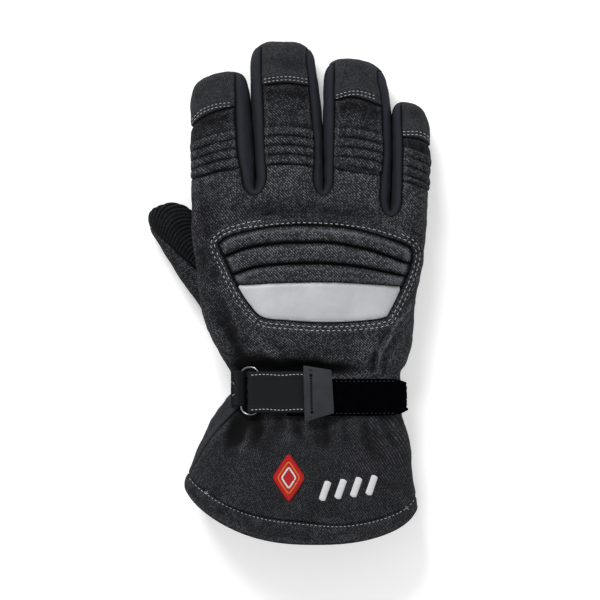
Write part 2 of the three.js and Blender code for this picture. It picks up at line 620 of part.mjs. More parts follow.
/** A point on the strip between two fingers.
 *  turn: 0 to 1 down one finger, 1 to 2 round, 2 to 3 up the other. */
function stripPoint(crotch, turn, across) {
  const [first, second] = crotch.between.map((name) => FINGERS[name]);
  const on = (digit, at, mirrored) => {
    const s = digitSection(digit, at);
    const seam = mirrored ? Math.PI - angleAt(s, s.seamLeft) : angleAt(s, s.seamRight);
    const angle = lerp(seam, -seam, across);
    return digitPoint(digit, at, mirrored ? Math.PI - angle : angle);
  };
  const [firstEnd, secondEnd] = crotch.between.map((name) => capStart(name) - GAP / 2);
  if (turn <= 1) return on(first, lerp(firstEnd, crotch.turn, turn), false);
  if (turn >= 2) return on(second, lerp(crotch.turn, secondEnd, turn - 2), true);
  const a = on(first, crotch.turn, false);
  const b = on(second, crotch.turn, true);
  const round = (turn - 1) * Math.PI;
  const share = (1 - Math.cos(round)) / 2;
  const deep = lerp(crotch.atTouch, crotch.atSeam, Math.abs(2 * across - 1) ** 1.5);
  return a.lerp(b, share).setY(crotch.turn - deep * Math.sin(round));
}

function strip(crotch, fat = 0) {
  const upTo = (k) => {
    const digit = FINGERS[crotch.between[k]];
    const end = capStart(crotch.between[k]) - GAP / 2;
    const rows = domeShares(digit).map((share) => (end - domeAt(digit, share)) / (end - crotch.turn));
    return [0, ...rows, ...spread(rows[1], 1, 3).slice(1)];
  };
  const down = upTo(1).reverse().map((turn) => 3 - turn);
  const turns = [...upTo(0), ...spread(1, 2, 5).slice(1, -1), ...down];
  const pairs = turns.map((turn) => {
    const margin = (GAP / 2 - fat) / stripPoint(crotch, turn, 0).distanceTo(stripPoint(crotch, turn, 1));
    return spread(margin, 1 - margin, 3).map((across) => [turn, across]);
  });
  const surface = (turn, across) => stripPoint(crotch, turn, across);
  const normal = (turn, across) => normalOf(surface, turn, clamp(across, 0.02, 0.98), 0.01, 0.02);
  return wallOver(surface, pairs, { wall: SIDE_WALL, fat, normal });
}

/** The outline in plan of the strip between two fingers, from its turn up to a place along Y. */
function stripOutline(crotch, upTo, margin) {
  const [first, second] = crotch.between.map((name) => FINGERS[name]);
  const left = (at) => digitSection(first, Math.min(at, first.dome)).seamRight - margin;
  const right = (at) => digitSection(second, Math.min(at, second.dome)).seamLeft + margin;
  const rows = spread(crotch.turn, upTo, 4);
  const middle = (left(crotch.turn) + right(crotch.turn)) / 2;
  const half = (right(crotch.turn) - left(crotch.turn)) / 2;
  const arc = spread(0, Math.PI, 8).slice(1, -1).map((angle) => [
    middle - half * Math.cos(angle),
    crotch.turn - (crotch.atSeam + margin) * Math.sin(angle),
  ]);
  return [
    ...rows.slice().reverse().map((at) => [left(at), at]),
    ...arc,
    ...rows.map((at) => [right(at), at]),
  ];
}

// Hand.

/** Places and angles of a panel of the hand or cuff, across from one seam to the other.
 *  right, left: angles of the seams in degrees at y. rows: each row's line across, as y at x. */
function handPairs(right, left, across, rows) {
  return rows.map((row) =>
    across.map((part) => {
      let y = row(0);
      let angle = 0;
      for (let i = 0; i < 8; i++) {
        angle = degToRad(lerp(right(y), left(y), part));
        y = row(handPoint(y, angle).x);
      }
      return [y, angle];
    }),
  );
}

const constant = (y) => () => y;
const betweenLines = (from, to, share) => (x) => lerp(from(x), to(x), share);
const SEAM_HALF = 0.6; // degrees from a side seam's middle to the panel's edge

function handBack(neighbours) {
  const right = () => RIGHT_SEAM + SEAM_HALF;
  const left = () => LEFT_SEAM - SEAM_HALF;
  const knuckles = (x) => smooth(BACK_SEAM, "y", x) - GAP;
  const rows = [WRIST_SEAM + GAP / 2, ...HAND_ROWS].map(constant);
  rows.push(betweenLines(rows[rows.length - 1], knuckles, 0.5), knuckles);
  const pairs = handPairs(right, left, spread(0, 1, CELLS.handBack), rows);
  const sheet = wallOver(handPoint, pairs, { normal: handNormal });
  const openings = CROTCHES.map((crotch) => prism(stripOutline(crotch, 80, GAP / 2), 8, 70));
  const strips = CROTCHES.map((crotch) => strip(crotch, GAP));
  return cut(sheet, ...openings, ...strips, prism(WINDOW, 15, 70), ...neighbours);
}

/** The palm with the fronts of the four fingers, in one piece. */
function palm(neighbours) {
  const right = () => LEFT_SEAM + SEAM_HALF;
  const left = () => 360 + RIGHT_SEAM - SEAM_HALF;
  const ends = ORDER.map((name) => capStart(name) - GAP / 2);
  const rows = [WRIST_SEAM + GAP / 2, ...HAND_ROWS, ...FINGER_ROWS];
  const pairs = handPairs(right, left, spread(0, 1, CELLS.palm), rows.map(constant));
  const sheet = wallOver(palmPoint, pairs, {
    normal: (y, angle) => normalOf((a, b) => palmPoint(a, b, false), y, angle),
  });
  const endAt = (i, x) => {
    const digit = FINGERS[ORDER[i]];
    return ends[i] + digit.slant * (x - digitSection(digit, ends[i]).cx);
  };
  const outline = [[-85, WRIST_SEAM], [-85, endAt(0, -85)]];
  CROTCHES.forEach((crotch, i) => {
    const edges = stripOutline(crotch, 100, GAP / 2);
    const first = edges[0][0];
    const second = edges[edges.length - 1][0];
    outline.push([first, endAt(i, first)], ...edges.slice(1, -1), [second, endAt(i + 1, second)]);
  });
  outline.push([85, endAt(3, 85)], [85, WRIST_SEAM]);
  const cutter = prism(outline.reverse(), -5, 60);
  const shaped = sheet.intersect(cutter);
  return cut(shaped, ...CROTCHES.map((crotch) => strip(crotch, GAP)), ...neighbours);
}

/** Underside of the hand, which runs on under the fingers. */
function palmPoint(y, angle, flat = true) {
  const point = handPoint(y, angle, flat);
  const blend = step(y, 40, 66);
  if (blend > 0) point.z = lerp(point.z, fingersUnder(point.x, y), blend);
  if (flat) point.z = Math.max(point.z, 0);
  return point;
}

/** Height of the fingers' underside at x, level between the seams of two fingers. */
function fingersUnder(x, y) {
  const straight = ORDER.map((name) => digitSection(FINGERS[name], Math.min(y, FINGERS[name].dome)));
  const k = straight.findIndex((s) => x < s.cx + s.half + 0.6);
  const finger = FINGERS[ORDER[k < 0 ? 3 : k]];
  const middle = digitSection(finger, y).cx;
  const lean = finger.slant * step(y, finger.dome - 15, finger.dome + 2) * (x - middle);
  const s = digitSection(finger, Math.min(y - lean, finger.tip));
  const inner = clamp(x, k === 0 ? -99 : s.seamLeft, k === 3 ? 99 : s.seamRight);
  return s.mid - (s.mid + SUNK) * s.round * arch((inner - s.cx) / Math.max(s.half, 1));
}

/** The whole outside of the hand as one closed solid, to trim the thumb against. */
function handSolid(fat) {
  const angles = spread(0, 2 * Math.PI, 60).slice(0, -1);
  const places = [-60, WRIST_SEAM, ...HAND_ROWS, 57, 64];
  const positions = [];
  for (const y of places) {
    for (const angle of angles) {
      const point = handPoint(y, angle).addScaledVector(handNormal(y, angle), fat);
      positions.push(point.x, point.y, Math.sin(angle) < 0 && point.z < 0.6 ? -3 : point.z);
    }
  }
  const count = angles.length;
  const triangles = tubeTriangles(places.length, count, false);
  const cap = (row, flip) => {
    const middle = positions.length / 3;
    const section = bodySection(places[row]);
    positions.push(section.cx, places[row], (section.top + section.base) / 2);
    for (let j = 0; j < count; j++) {
      const a = row * count + j;
      const b = row * count + ((j + 1) % count);
      triangles.push(...(flip ? [middle, b, a] : [middle, a, b]));
    }
  };
  cap(0, true);
  cap(places.length - 1, false);
  return solidFrom(positions, triangles);
}

// Thumb.

function thumbPoint(at, angle, flat = true) {
  const local = digitPoint(THUMB, at, angle, flat);
  const x = local.y * THUMB_ALONG.x + local.x * THUMB_ACROSS.x;
  const y = local.y * THUMB_ALONG.y + local.x * THUMB_ACROSS.y;
  return new THREE.Vector3(x, y, local.z);
}

function thumbNormal(at, angle) {
  if (at > THUMB.tip - 0.05) return new THREE.Vector3(THUMB_ALONG.x, THUMB_ALONG.y, 0);
  return normalOf((a, b) => thumbPoint(a, b, false), at, angle);
}

/** Rows of the thumb with the back's two edges, at the same columns for both of its panels. */
function thumbPairs(rows, backColumns, gripColumns, margin, whole) {
  return rows.map((at) => {
    const turn = margin / 12;
    const seam = degToRad(smooth(THUMB.rows, "seam", Math.min(at, THUMB.backEnd))) + turn;
    const end = degToRad(THUMB.backTo) - turn;
    const back = spread(seam, end, backColumns);
    const grip = spread(end, seam + 2 * Math.PI, gripColumns);
    if (whole) return [...back, ...grip.slice(1, -1)].map((angle) => [at, angle]);
    return back.map((angle) => [at, angle]);
  });
}

function thumbBack(hand) {
  const rows = spread(-12, THUMB.backEnd - GAP, 6);
  const pairs = thumbPairs(rows, 5, 9, GAP / 2, false);
  return cut(wallOver(thumbPoint, pairs, { normal: thumbNormal }), hand);
}

/** The ribbed grip: the rest of the tube, and all of the tip. */
function thumbGrip(hand) {
  const tube = spread(-12, THUMB.backEnd, 6);
  const tip = [0.86, 0.72, ...TIP_SHARES].map((share) => domeAt(THUMB, share));
  const pairs = thumbPairs([...tube, ...tip], 5, 9, -GAP / 2, true);
  const grip = wallOver(thumbPoint, pairs, {
    normal: thumbNormal, ring: true, here: (i, j) => i >= tube.length - 1 || j >= 5,
  });
  return cut(grip, hand);
}

/** The room inside the thumb, which opens the palm. */
function thumbRoom() {
  const rows = spread(-8, 16, 3);
  const angles = spread(0, 2 * Math.PI, 20).slice(0, -1);
  const inside = rows.map((at) =>
    angles.map((angle) => thumbPoint(at, angle).addScaledVector(thumbNormal(at, angle), -WALL)),
  );
  const positions = inside.flat().flatMap((p) => [p.x, p.y, p.z]);
  const count = angles.length;
  const triangles = tubeTriangles(rows.length, count, false);
  for (let j = 1; j < count - 1; j++) {
    const last = (rows.length - 1) * count;
    triangles.push(0, j + 1, j, last, last + j, last + j + 1);
  }
  return solidFrom(positions, triangles);
}

// Cuff.

/** Place of the hem along Y at x: it hangs lowest right of the middle and rises to the corners. */
function hemY(x) {
  const section = bodySection(-120);
  const corner = Math.min(1, Math.abs((x - section.cx) / section.half) ** HEM.cornerPower);
  return HEM.low + HEM.bend * Math.abs(x - HEM.lowX) ** HEM.bendPower + HEM.cornerRise * corner;
}

function cuffPanel(right, left, count) {
  const hem = (x) => hemY(x) + HEM.width + GAP / 2;
  const rows = [0, 0.33, 0.66].map((share) => betweenLines(hem, constant(-84), share));
  rows.push(...[-84, -78, -73.5, -70, -66.5, -62, WRIST_SEAM - GAP / 2].map(constant));
  const pairs = handPairs(right, left, spread(0, 1, count), rows);
  return wallOver(handPoint, pairs, { normal: handNormal });
}

/** The turned hem, a little thicker than the cuff and with its lower edge rounded. */
function hemBand() {
  const across = spread(0, 1, CELLS.hem).slice(0, -1);
  const rows = [0, 0.15 * HEM.width, HEM.width - GAP].map((up) => (x) => hemY(x) + up);
  const pairs = handPairs(() => 0, () => 360, across, rows);
  const bulge = (row) => [-0.6, HEM.proud, 0.1][row];
  const outer = [];
  const inner = [];
  pairs.forEach((row, i) => {
    const points = row.map(([y, angle]) => [handPoint(y, angle), handNormal(y, angle)]);
    outer.push(points.map(([p, n]) => liftedOff(p.clone().addScaledVector(n, bulge(i)))));
    inner.push(points.map(([p, n]) => p.clone().addScaledVector(n, -WALL - bulge(i) * 0.6)));
  });
  return wallSolid(outer, inner, true);
}

function liftedOff(point) {
  point.z = Math.max(point.z, 0);
  return point;
}

// Knuckle pad and reflective strip.

/** Height of the padded ridges above the pad's base at a point. */
function ridgeHeight(x, y) {
  const edges = GROOVES.map((groove) => smooth(groove, "y", x));
  for (let i = 0; i < edges.length - 1; i++) {
    if (y > edges[i] || y < edges[i + 1]) continue;
    const share = (y - edges[i + 1]) / (edges[i] - edges[i + 1]);
    return PAD.ridge * Math.sqrt(Math.max(0, 1 - (2 * share - 1) ** 2)) ** 0.8;
  }
  return 0;
}

/** A sheet over the hand's upper side, between two height functions, cut to an outline in plan. */
function sheetOver(outline, places, columns, low, high) {
  const xs = outline.map(([x]) => x);
  const across = spread(Math.min(...xs) - 1, Math.max(...xs) + 1, columns);
  const rows = places.map((place) => across.map((x) => [x, place(x)]));
  const grid = (height) =>
    rows.map((row) => row.map(([x, y]) => new THREE.Vector3(x, y, handTop(x, y) + height(x, y))));
  return wallSolid(grid(high), grid(low)).intersect(prism(outline));
}

function knucklePad() {
  const groove = (k) => (x) => smooth(GROOVES[k], "y", x);
  const between = (k, share) => (x) => lerp(groove(k)(x), groove(k + 1)(x), share);
  const places = [(x) => groove(0)(x) + 2];
  for (let k = 0; k < GROOVES.length - 1; k++)
    for (const share of [0, 0.15, 0.5, 0.85]) places.push(between(k, share));
  places.push(groove(3), (x) => groove(3)(x) - 8, () => -18);
  const base = (x, y) => ridgeHeight(x, y) - PAD.recess;
  return largest(sheetOver(grown(WINDOW, -GAP), places, CELLS.pad, () => -PAD.recess - PAD.thick, base));
}

function reflectiveStrip() {
  const top = (x) => smooth(GROOVES[3], "y", x) - 0.4;
  const places = [0, 0.3, 0.7, 1].map((share) => (x) => lerp(top(x), -18.2, share));
  const low = -PAD.recess + PAD.stripGap;
  const high = (x, y) => low + PAD.stripThick + 0.5 * Math.max(0, 1 - ((y + 6) / 11) ** 2);
  return largest(sheetOver(grown(WINDOW, -GAP - 0.3), places, CELLS.pad, () => low, high));
}

// Wrist strap and its fittings.

/** Angle round the wrist at y where its upper side has a given x. */
function wristAngle(y, x) {
  const s = bodySection(y);
  return Math.acos(power(clamp((x - s.cx) / s.half, -1, 1), SQUARENESS / 2));
}

/** Direction straight out from the wrist's section. */
function wristOut(y, angle) {
  const out = handNormal(y, angle);
  out.y = 0;
  return out.normalize();
}

const wristPoint = (y, angle, rise) => handPoint(y, angle).addScaledVector(wristOut(y, angle), rise);

/** The soft loop tape: from under the palm round the right edge to beneath the tab. */
function loopTape() {
  const rows = spread(TAPE.y - TAPE.width / 2, TAPE.y + TAPE.width / 2, 3);
  const angles = (y) => spread(-wristAngle(y, TAPE.underTo), wristAngle(y, TAPE.from), CELLS.tape);
  const grid = (rise) => rows.map((y) => angles(y).map((angle) => wristPoint(y, angle, rise)));
  return wallSolid(grid(TAPE.rise + TAPE.thick), grid(TAPE.rise));
}

/** A strap that runs along the wrist, turns round a bar and lies back over itself. It is level
 *  across its width. side: 1 where the turn is on the right. centre: the bar's. */
function foldedStrap({ y, width, thick, rise, lowFrom, bend, highTo, highRise, centre, radius, side }) {
  const outer = [];
  const inner = [];
  for (const angle of spread(lowFrom, bend, 4)) {
    outer.push(wristPoint(y, angle, rise));
    inner.push(wristPoint(y, angle, rise + thick));
  }
  const out = wristOut(y, bend);
  const along = new THREE.Vector3(side * out.z, 0, -side * out.x);
  for (const turn of spread(0, Math.PI, 6).slice(1, -1)) {
    const face = (r) => {
      const point = centre.clone().addScaledVector(out, -r * Math.cos(turn));
      return point.addScaledVector(along, r * Math.sin(turn));
    };
    outer.push(face(radius));
    inner.push(face(radius - thick));
  }
  for (const share of spread(0, 1, 7)) {
    const angle = lerp(bend, highTo, share);
    outer.push(wristPoint(y, angle, highRise(share) + thick));
    inner.push(wristPoint(y, angle, highRise(share)));
  }
  const across = (line) => [-0.5, 0.5].map((part) => line.map((p) => p.clone().setY(y + part * width)));
  return wallSolid(across(outer), across(inner));
}

function strapEnd() {
  const bend = wristAngle(STRAP.y, STRAP.fold);
  const middle = (STRAP.rise + STRAP.foldRise + STRAP.thick) / 2;
  return foldedStrap({
    ...STRAP, bend, side: -1,
    lowFrom: wristAngle(STRAP.y, STRAP.lowEnd),
    highTo: wristAngle(STRAP.y, STRAP.end),
    highRise: (share) => lerp(STRAP.foldRise, STRAP.restRise, step(share, 0, 0.4)),
    centre: wristPoint(STRAP.y, bend, middle),
    radius: middle - STRAP.rise,
  });
}

/** Middle of the ring, its directions across the wrist and away from it, and its left bar. */
function ringFrame() {
  const onWrist = (x) => wristPoint(RING.y, wristAngle(RING.y, x), RING.rise);
  const [left, right] = [RING.left, RING.right].map(onWrist);
  const across = right.clone().sub(left);
  const halfX = across.length() / 2;
  across.normalize();
  const out = new THREE.Vector3(-across.z, 0, across.x);
  return { origin: left.clone().lerp(right, 0.5), across, out, halfX, left };
}

/** A rectangular wire ring with round corners. Its right bar is inside the strap's fold. */
function wireRing() {
  const corner = RING.corner;
  const { origin, across, out, halfX } = ringFrame();
  const [x, y] = [halfX - corner, RING.halfY - corner];
  const centres = [[x, y, 0], [-x, y, 90], [-x, -y, 180], [x, -y, 270]];
  const path = centres.flatMap(([cx, cy, from]) =>
    spread(from, from + 90, 2).map((turn) => {
      const angle = degToRad(turn);
      return new THREE.Vector2(cx + corner * Math.cos(angle), cy + corner * Math.sin(angle));
    }),
  );
  const sides = 6;
  const positions = [];
  path.forEach((p, i) => {
    const before = path[(i + path.length - 1) % path.length];
    const after = path[(i + 1) % path.length];
    const tangent = after.clone().sub(before).normalize();
    const side = new THREE.Vector2(tangent.y, -tangent.x);
    for (let k = 0; k < sides; k++) {
      const angle = (k / sides) * 2 * Math.PI;
      const flat = p.clone().addScaledVector(side, RING.wire * Math.cos(angle));
      const point = origin.clone().addScaledVector(across, flat.x);
      point.addScaledVector(out, RING.wire * Math.sin(angle));
      positions.push(point.x, point.y + flat.y, point.z);
    }
  });
  return solidFrom(positions, tubeTriangles(path.length, sides, true));
}

/** Triangles of a tube: rings of points one after another, joined at its ends where it is closed. */
function tubeTriangles(rings, sides, closed) {
  const triangles = [];
  for (let i = 0; i < (closed ? rings : rings - 1); i++) {
    const next = ((i + 1) % rings) * sides;
    for (let k = 0; k < sides; k++) {
      const a = i * sides + k;
      const b = i * sides + ((k + 1) % sides);
      const c = next + ((k + 1) % sides);
      const d = next + k;
      triangles.push(a, b, c, a, c, d);
    }
  }
  return triangles;
}

/** The webbing loop that holds the ring's left bar, sewn into the wrist's left side. */
function ringLoop() {
  const sewn = degToRad(LOOP.sewnAt);
  const atBar = RING.rise + LOOP.radius - LOOP.thick;
  return foldedStrap({
    ...LOOP, side: 1, lowFrom: sewn, highTo: sewn,
    highRise: (share) => lerp(atBar, LOOP.rise + LOOP.thick + GAP, step(share, 0, 0.7)),
    bend: wristAngle(LOOP.y, RING.left),
    centre: ringFrame().left,
  });
}

/** The moulded pull tab over the strap's end, with a sunk slot for its stitching. */
function pullTab() {
  const xs = spread(TAB.left, TAB.right, 4);
  const grid = (rise) => [-1, 1].map((side) => xs.map((x) => {
    const point = wristPoint(STRAP.y, wristAngle(STRAP.y, x), rise);
    const half = lerp(TAB.halfLeft, TAB.halfRight, (x - TAB.left) / (TAB.right - TAB.left));
    point.y = STRAP.y - 0.8 + side * half;
    return point;
  }));
  const floor = handTop(TAB.slotX, STRAP.y) + TAB.rise + TAB.thick - TAB.slotDeep;
  const [low, high] = [-1, 1].map((side) => STRAP.y - 0.8 + side * TAB.slotHalf);
  const [left, right] = [-1, 1].map((side) => TAB.slotX + side * 0.7);
  const slot = prism([[left, low], [right, low], [right, high], [left, high]], floor, floor + 10);
  return wallSolid(grid(TAB.rise + TAB.thick), grid(TAB.rise)).subtract(slot);
}

// Embroidered marks.

function onCuff(outline, thick, columns, rows) {
  const ys = outline.map(([, y]) => y);
  const places = spread(Math.min(...ys) - 1, Math.max(...ys) + 1, rows).map((y) => () => y);
  return sheetOver(outline, places, columns, () => GAP, () => GAP + thick);
}

function patch() {
  const corner = 0.22;
  const outline = [];
  const corners = [[1, 0], [0, 1], [-1, 0], [0, -1]];
  corners.forEach(([cx, cy], i) => {
    const [px, py] = corners[(i + 3) % 4];
    const [nx, ny] = corners[(i + 1) % 4];
    outline.push([lerp(cx, px, corner), lerp(cy, py, corner)]);
    outline.push([cx * (1 - corner * 0.35), cy * (1 - corner * 0.35)]);
    outline.push([lerp(cx, nx, corner), lerp(cy, ny, corner)]);
  });
  const placed = outline.map(([x, y]) => [PATCH.x + x * PATCH.halfX, PATCH.y + y * PATCH.halfY]);
  return onCuff(placed, PATCH.thick, 4, 5);
}

function bar(k) {
  const x = BARS.x + k * BARS.pitch;
  const y = BARS.y + k * BARS.rise;
  const outline = [
    [x - BARS.lean, y], [x - BARS.lean + BARS.width, y],
    [x + BARS.lean + BARS.width, y + BARS.height], [x + BARS.lean, y + BARS.height],
  ];
  return onCuff(outline, BARS.thick, 2, 2);
}

// Materials, by the finish of the real pieces.

function finish(color, roughness, metalness = 0) {
  return new THREE.MeshStandardMaterial({ color, roughness, metalness });
}

const FINISHES = {
  shell: finish(0x26282b, 0.9),
  palm: finish(0x1c1d1f, 0.85),
  stretch: finish(0x181a1e, 0.8),
  grip: finish(0x17191a, 0.85),
  reflective: finish(0xb9babd, 0.45),
  webbing: finish(0x1b1c1f, 0.7),
  pile: finish(0x08080a, 1),
  rubber: finish(0x37393d, 0.6),
  steel: finish(0xb4b4b2, 0.3, 1),
  redThread: finish(0xb0201c, 0.7),
  whiteThread: finish(0xe8e8ea, 0.7),
};

const glove = new THREE.Group();
glove.name = "rescue_glove";

function add(name, solid, material) {
  const mesh = solid.getMesh();
  const geometry = new THREE.BufferGeometry();
  geometry.setAttribute("position", new THREE.BufferAttribute(mesh.vertProperties, 3));
  geometry.setIndex(new THREE.BufferAttribute(mesh.triVerts, 1));
  geometry.computeVertexNormals();
  const piece = new THREE.Mesh(geometry, FINISHES[material]);
  piece.name = name;
  glove.add(piece);
}

const hand = handSolid(2 * GAP);
const capTools = ORDER.map((name) => fingerCap(name, GAP));
const backTools = ["index", "pinky"].map((name) => fingerBack(name, GAP));

add("hand_back", handBack(backTools), "shell");
add("palm", palm([...capTools, ...backTools, thumbRoom()]), "palm");
for (const name of ORDER) add(`${name}_back`, fingerBack(name), "shell");
for (const name of ORDER) add(`${name}_cap`, fingerCap(name), "shell");
for (const crotch of CROTCHES) {
  const neighbours = crotch.between.flatMap((name) => [fingerCap(name, GAP), fingerBack(name, GAP)]);
  add(`side_strip_${crotch.between.join("_")}`, cut(strip(crotch), ...neighbours), "stretch");
}
add("thumb_back", thumbBack(hand), "shell");
add("thumb_grip", thumbGrip(hand), "grip");
const cuffSeam = (y) => smooth(CUFF_SEAM, "angle", y);
const cuffRight = () => RIGHT_SEAM + SEAM_HALF;
const underRight = () => 360 + RIGHT_SEAM - SEAM_HALF;
add("cuff_back", cuffPanel(cuffRight, (y) => cuffSeam(y) - 1, CELLS.cuffBack), "shell");
add("cuff_under", cuffPanel((y) => cuffSeam(y) + 1, underRight, CELLS.cuffUnder), "palm");
add("hem_band", hemBand(), "shell");
add("knuckle_pad", knucklePad(), "shell");
add("reflective_strip", reflectiveStrip(), "reflective");
add("loop_tape", loopTape(), "pile");
add("strap_end", strapEnd(), "webbing");
add("wire_ring", wireRing(), "steel");
add("ring_loop", ringLoop(), "webbing");
add("pull_tab", pullTab(), "rubber");
add("cuff_patch", patch(), "redThread");
for (let k = 0; k < BARS.count; k++) add(`cuff_bar_${k + 1}`, bar(k), "whiteThread");

export default glove;
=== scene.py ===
import json
import math

import bpy
import numpy as np
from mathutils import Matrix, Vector
from mathutils.bvhtree import BVHTree

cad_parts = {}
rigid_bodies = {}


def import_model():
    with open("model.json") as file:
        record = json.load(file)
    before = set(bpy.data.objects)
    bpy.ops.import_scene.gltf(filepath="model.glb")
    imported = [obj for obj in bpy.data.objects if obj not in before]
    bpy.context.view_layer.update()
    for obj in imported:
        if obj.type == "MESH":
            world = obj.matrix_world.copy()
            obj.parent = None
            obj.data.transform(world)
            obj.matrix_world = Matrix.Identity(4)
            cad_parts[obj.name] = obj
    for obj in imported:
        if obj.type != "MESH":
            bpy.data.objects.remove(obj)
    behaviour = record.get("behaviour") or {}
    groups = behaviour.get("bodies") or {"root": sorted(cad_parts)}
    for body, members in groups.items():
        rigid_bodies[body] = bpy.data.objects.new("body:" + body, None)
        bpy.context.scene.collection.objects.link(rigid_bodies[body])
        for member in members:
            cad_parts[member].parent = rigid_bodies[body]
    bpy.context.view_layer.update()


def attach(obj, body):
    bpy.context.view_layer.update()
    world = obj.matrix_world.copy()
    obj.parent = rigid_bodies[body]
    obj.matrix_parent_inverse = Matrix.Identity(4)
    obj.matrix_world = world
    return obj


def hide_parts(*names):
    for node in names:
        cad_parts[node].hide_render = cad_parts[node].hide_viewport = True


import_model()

# Camera, light and floor. The camera looks straight down from 2 m, at the middle of the picture's floor.
# Its frame is 336 mm wide at the height of the glove's widest line. The soft light comes from past the
# fingertips, and the pale floor glows a little, as a backdrop that is lit from below does.
VIEW_CENTRE = (0.0056, -0.0042)
CAMERA_HEIGHT, WIDEST_LINE_HEIGHT = 2.0, 0.018
SENSOR_WIDE, FRAME_WIDE = 36, 0.336
FLOOR_GLOW, FLOOR_SIZE = 0.28, 6
camera_data = bpy.data.cameras.new("camera")
camera_data.sensor_width = SENSOR_WIDE
camera_data.lens = SENSOR_WIDE * (CAMERA_HEIGHT - WIDEST_LINE_HEIGHT) / FRAME_WIDE
camera = bpy.data.objects.new("camera", camera_data)
camera.location = (*VIEW_CENTRE, CAMERA_HEIGHT)
bpy.context.scene.collection.objects.link(camera)
bpy.context.scene.camera = camera
LIT_MIDDLE = Vector((0, 0, 0.02))


def area_light(name, place, size, power):
    """A square soft light, turned towards the glove."""
    light = bpy.data.lights.new(name, "AREA")
    light.size = size
    light.energy = power
    lamp = bpy.data.objects.new(name, light)
    lamp.location = place
    lamp.rotation_euler = (LIT_MIDDLE - Vector(place)).to_track_quat("-Z", "Y").to_euler()
    bpy.context.scene.collection.objects.link(lamp)


area_light("key_light", (-1.2, 3.0, 2.6), 1.6, 150)
area_light("fill_light", (2.4, -1.6, 3.0), 2.5, 38)
area_light("side_light", (-3.2, -0.6, 1.6), 1.6, 12)
world = bpy.data.worlds.new("studio")
world.use_nodes = True
world.node_tree.nodes["Background"].inputs["Color"].default_value = (1, 1, 1, 1)
world.node_tree.nodes["Background"].inputs["Strength"].default_value = 0.52
bpy.context.scene.world = world
bpy.context.scene.view_settings.view_transform = "Standard"


def new_material(name, values):
    """A material, its nodes and its shader, with some of the shader's values set."""
    material = bpy.data.materials.new(name)
    material.use_nodes = True
    shader = material.node_tree.nodes["Principled BSDF"]
    for key, value in values.items():
        shader.inputs[key].default_value = value
    return material, material.node_tree, shader


bpy.ops.mesh.primitive_plane_add(size=FLOOR_SIZE, location=(0, 0, 0))
floor = bpy.context.object
floor.name = "floor"
PALE = new_material("floor", {
    "Base Color": (0.9, 0.9, 0.9, 1), "Roughness": 0.9,
    "Emission Color": (1, 1, 1, 1), "Emission Strength": FLOOR_GLOW,
})[0]
floor.data.materials.append(PALE)

# Back of the hand: one padded twill panel from the wrist to the knuckles, cut round the strips between the
# fingers. Two rows of stitches press it down round its window, where the knuckle pad sits. Its coarse black
# cloth shows lighter threads, set close along lines at 45 degrees.


def add_node(tree, kind, inputs=(), **settings):
    """A new node with its settings, and with its inputs set or linked."""
    node = tree.nodes.new(kind)
    for name, value in settings.items():
        setattr(node, name, value)
    for name, value in dict(inputs).items():
        if isinstance(value, bpy.types.NodeSocket):
            tree.links.new(value, node.inputs[name])
        else:
            node.inputs[name].default_value = value
    return node


def ramp(tree, value, low, high, to_low=0.0, to_high=1.0):
    """A value taken from one range to another, smoothly."""
    inputs = {0: value, 1: low, 2: high, 3: to_low, 4: to_high}
    return add_node(tree, "ShaderNodeMapRange", inputs, interpolation_type="SMOOTHSTEP").outputs[0]


def maths(tree, operation, a, b):
    return add_node(tree, "ShaderNodeMath", {0: a, 1: b}, operation=operation).outputs[0]


def mixed(tree, share, a, b):
    """A colour between two others."""
    colours = [c if isinstance(c, bpy.types.NodeSocket) else (*c, 1) for c in (a, b)]
    inputs = {0: share, 6: colours[0], 7: colours[1]}
    return add_node(tree, "ShaderNodeMix", inputs, data_type="RGBA").outputs[2]


def noise(tree, place, scale, detail):
    inputs = {"Vector": place, "Scale": scale, "Detail": detail}
    return add_node(tree, "ShaderNodeTexNoise", inputs).outputs[0]


def object_place(tree):
    return add_node(tree, "ShaderNodeTexCoord").outputs["Object"]


def dressed(tree, shader, colour, height, strength, distance):
    """Gives a shader its colour, and its relief from a height."""
    raised = add_node(tree, "ShaderNodeBump", {"Height": height, "Strength": strength, "Distance": distance})
    tree.links.new(colour, shader.inputs["Base Color"])
    tree.links.new(raised.outputs[0], shader.inputs["Normal"])


# The pitch of the twill's lines and the length of thread that shows along them, in millimetres.
# WAVE_TURN is the angle that a wave texture of scale 1 turns through in one unit.
LINE_PITCH, THREAD_SHOWS, WAVE_TURN = 1.16, 0.95, 20
LINE_ANGLE = math.radians(45)
WEAVE_RELIEF = 0.00025
twill = bpy.data.node_groups.new("twill", "ShaderNodeTree")
twill.interface.new_socket("Vector", in_out="INPUT", socket_type="NodeSocketVector")
twill.interface.new_socket("Fleck", in_out="OUTPUT", socket_type="NodeSocketFloat")
twill.interface.new_socket("Height", in_out="OUTPUT", socket_type="NodeSocketFloat")
twill_in = add_node(twill, "NodeGroupInput").outputs[0]
turned = add_node(twill, "ShaderNodeMapping", {"Vector": twill_in, "Rotation": (0, 0, LINE_ANGLE)}).outputs[0]
one_thread = (1 / LINE_PITCH, 1 / THREAD_SHOWS, 1)
stretched = add_node(twill, "ShaderNodeMapping", {"Vector": turned, "Scale": one_thread}).outputs[0]
shown_threads = add_node(
    twill, "ShaderNodeTexVoronoi", {"Vector": stretched, "Scale": 1.0, "Randomness": 0.5},
    voronoi_dimensions="2D", feature="F1",
)
shade = add_node(twill, "ShaderNodeSeparateColor", {"Color": shown_threads.outputs["Color"]}).outputs[0]
crest = ramp(twill, shown_threads.outputs["Distance"], 0.1, 0.58, 1.0, 0.0)
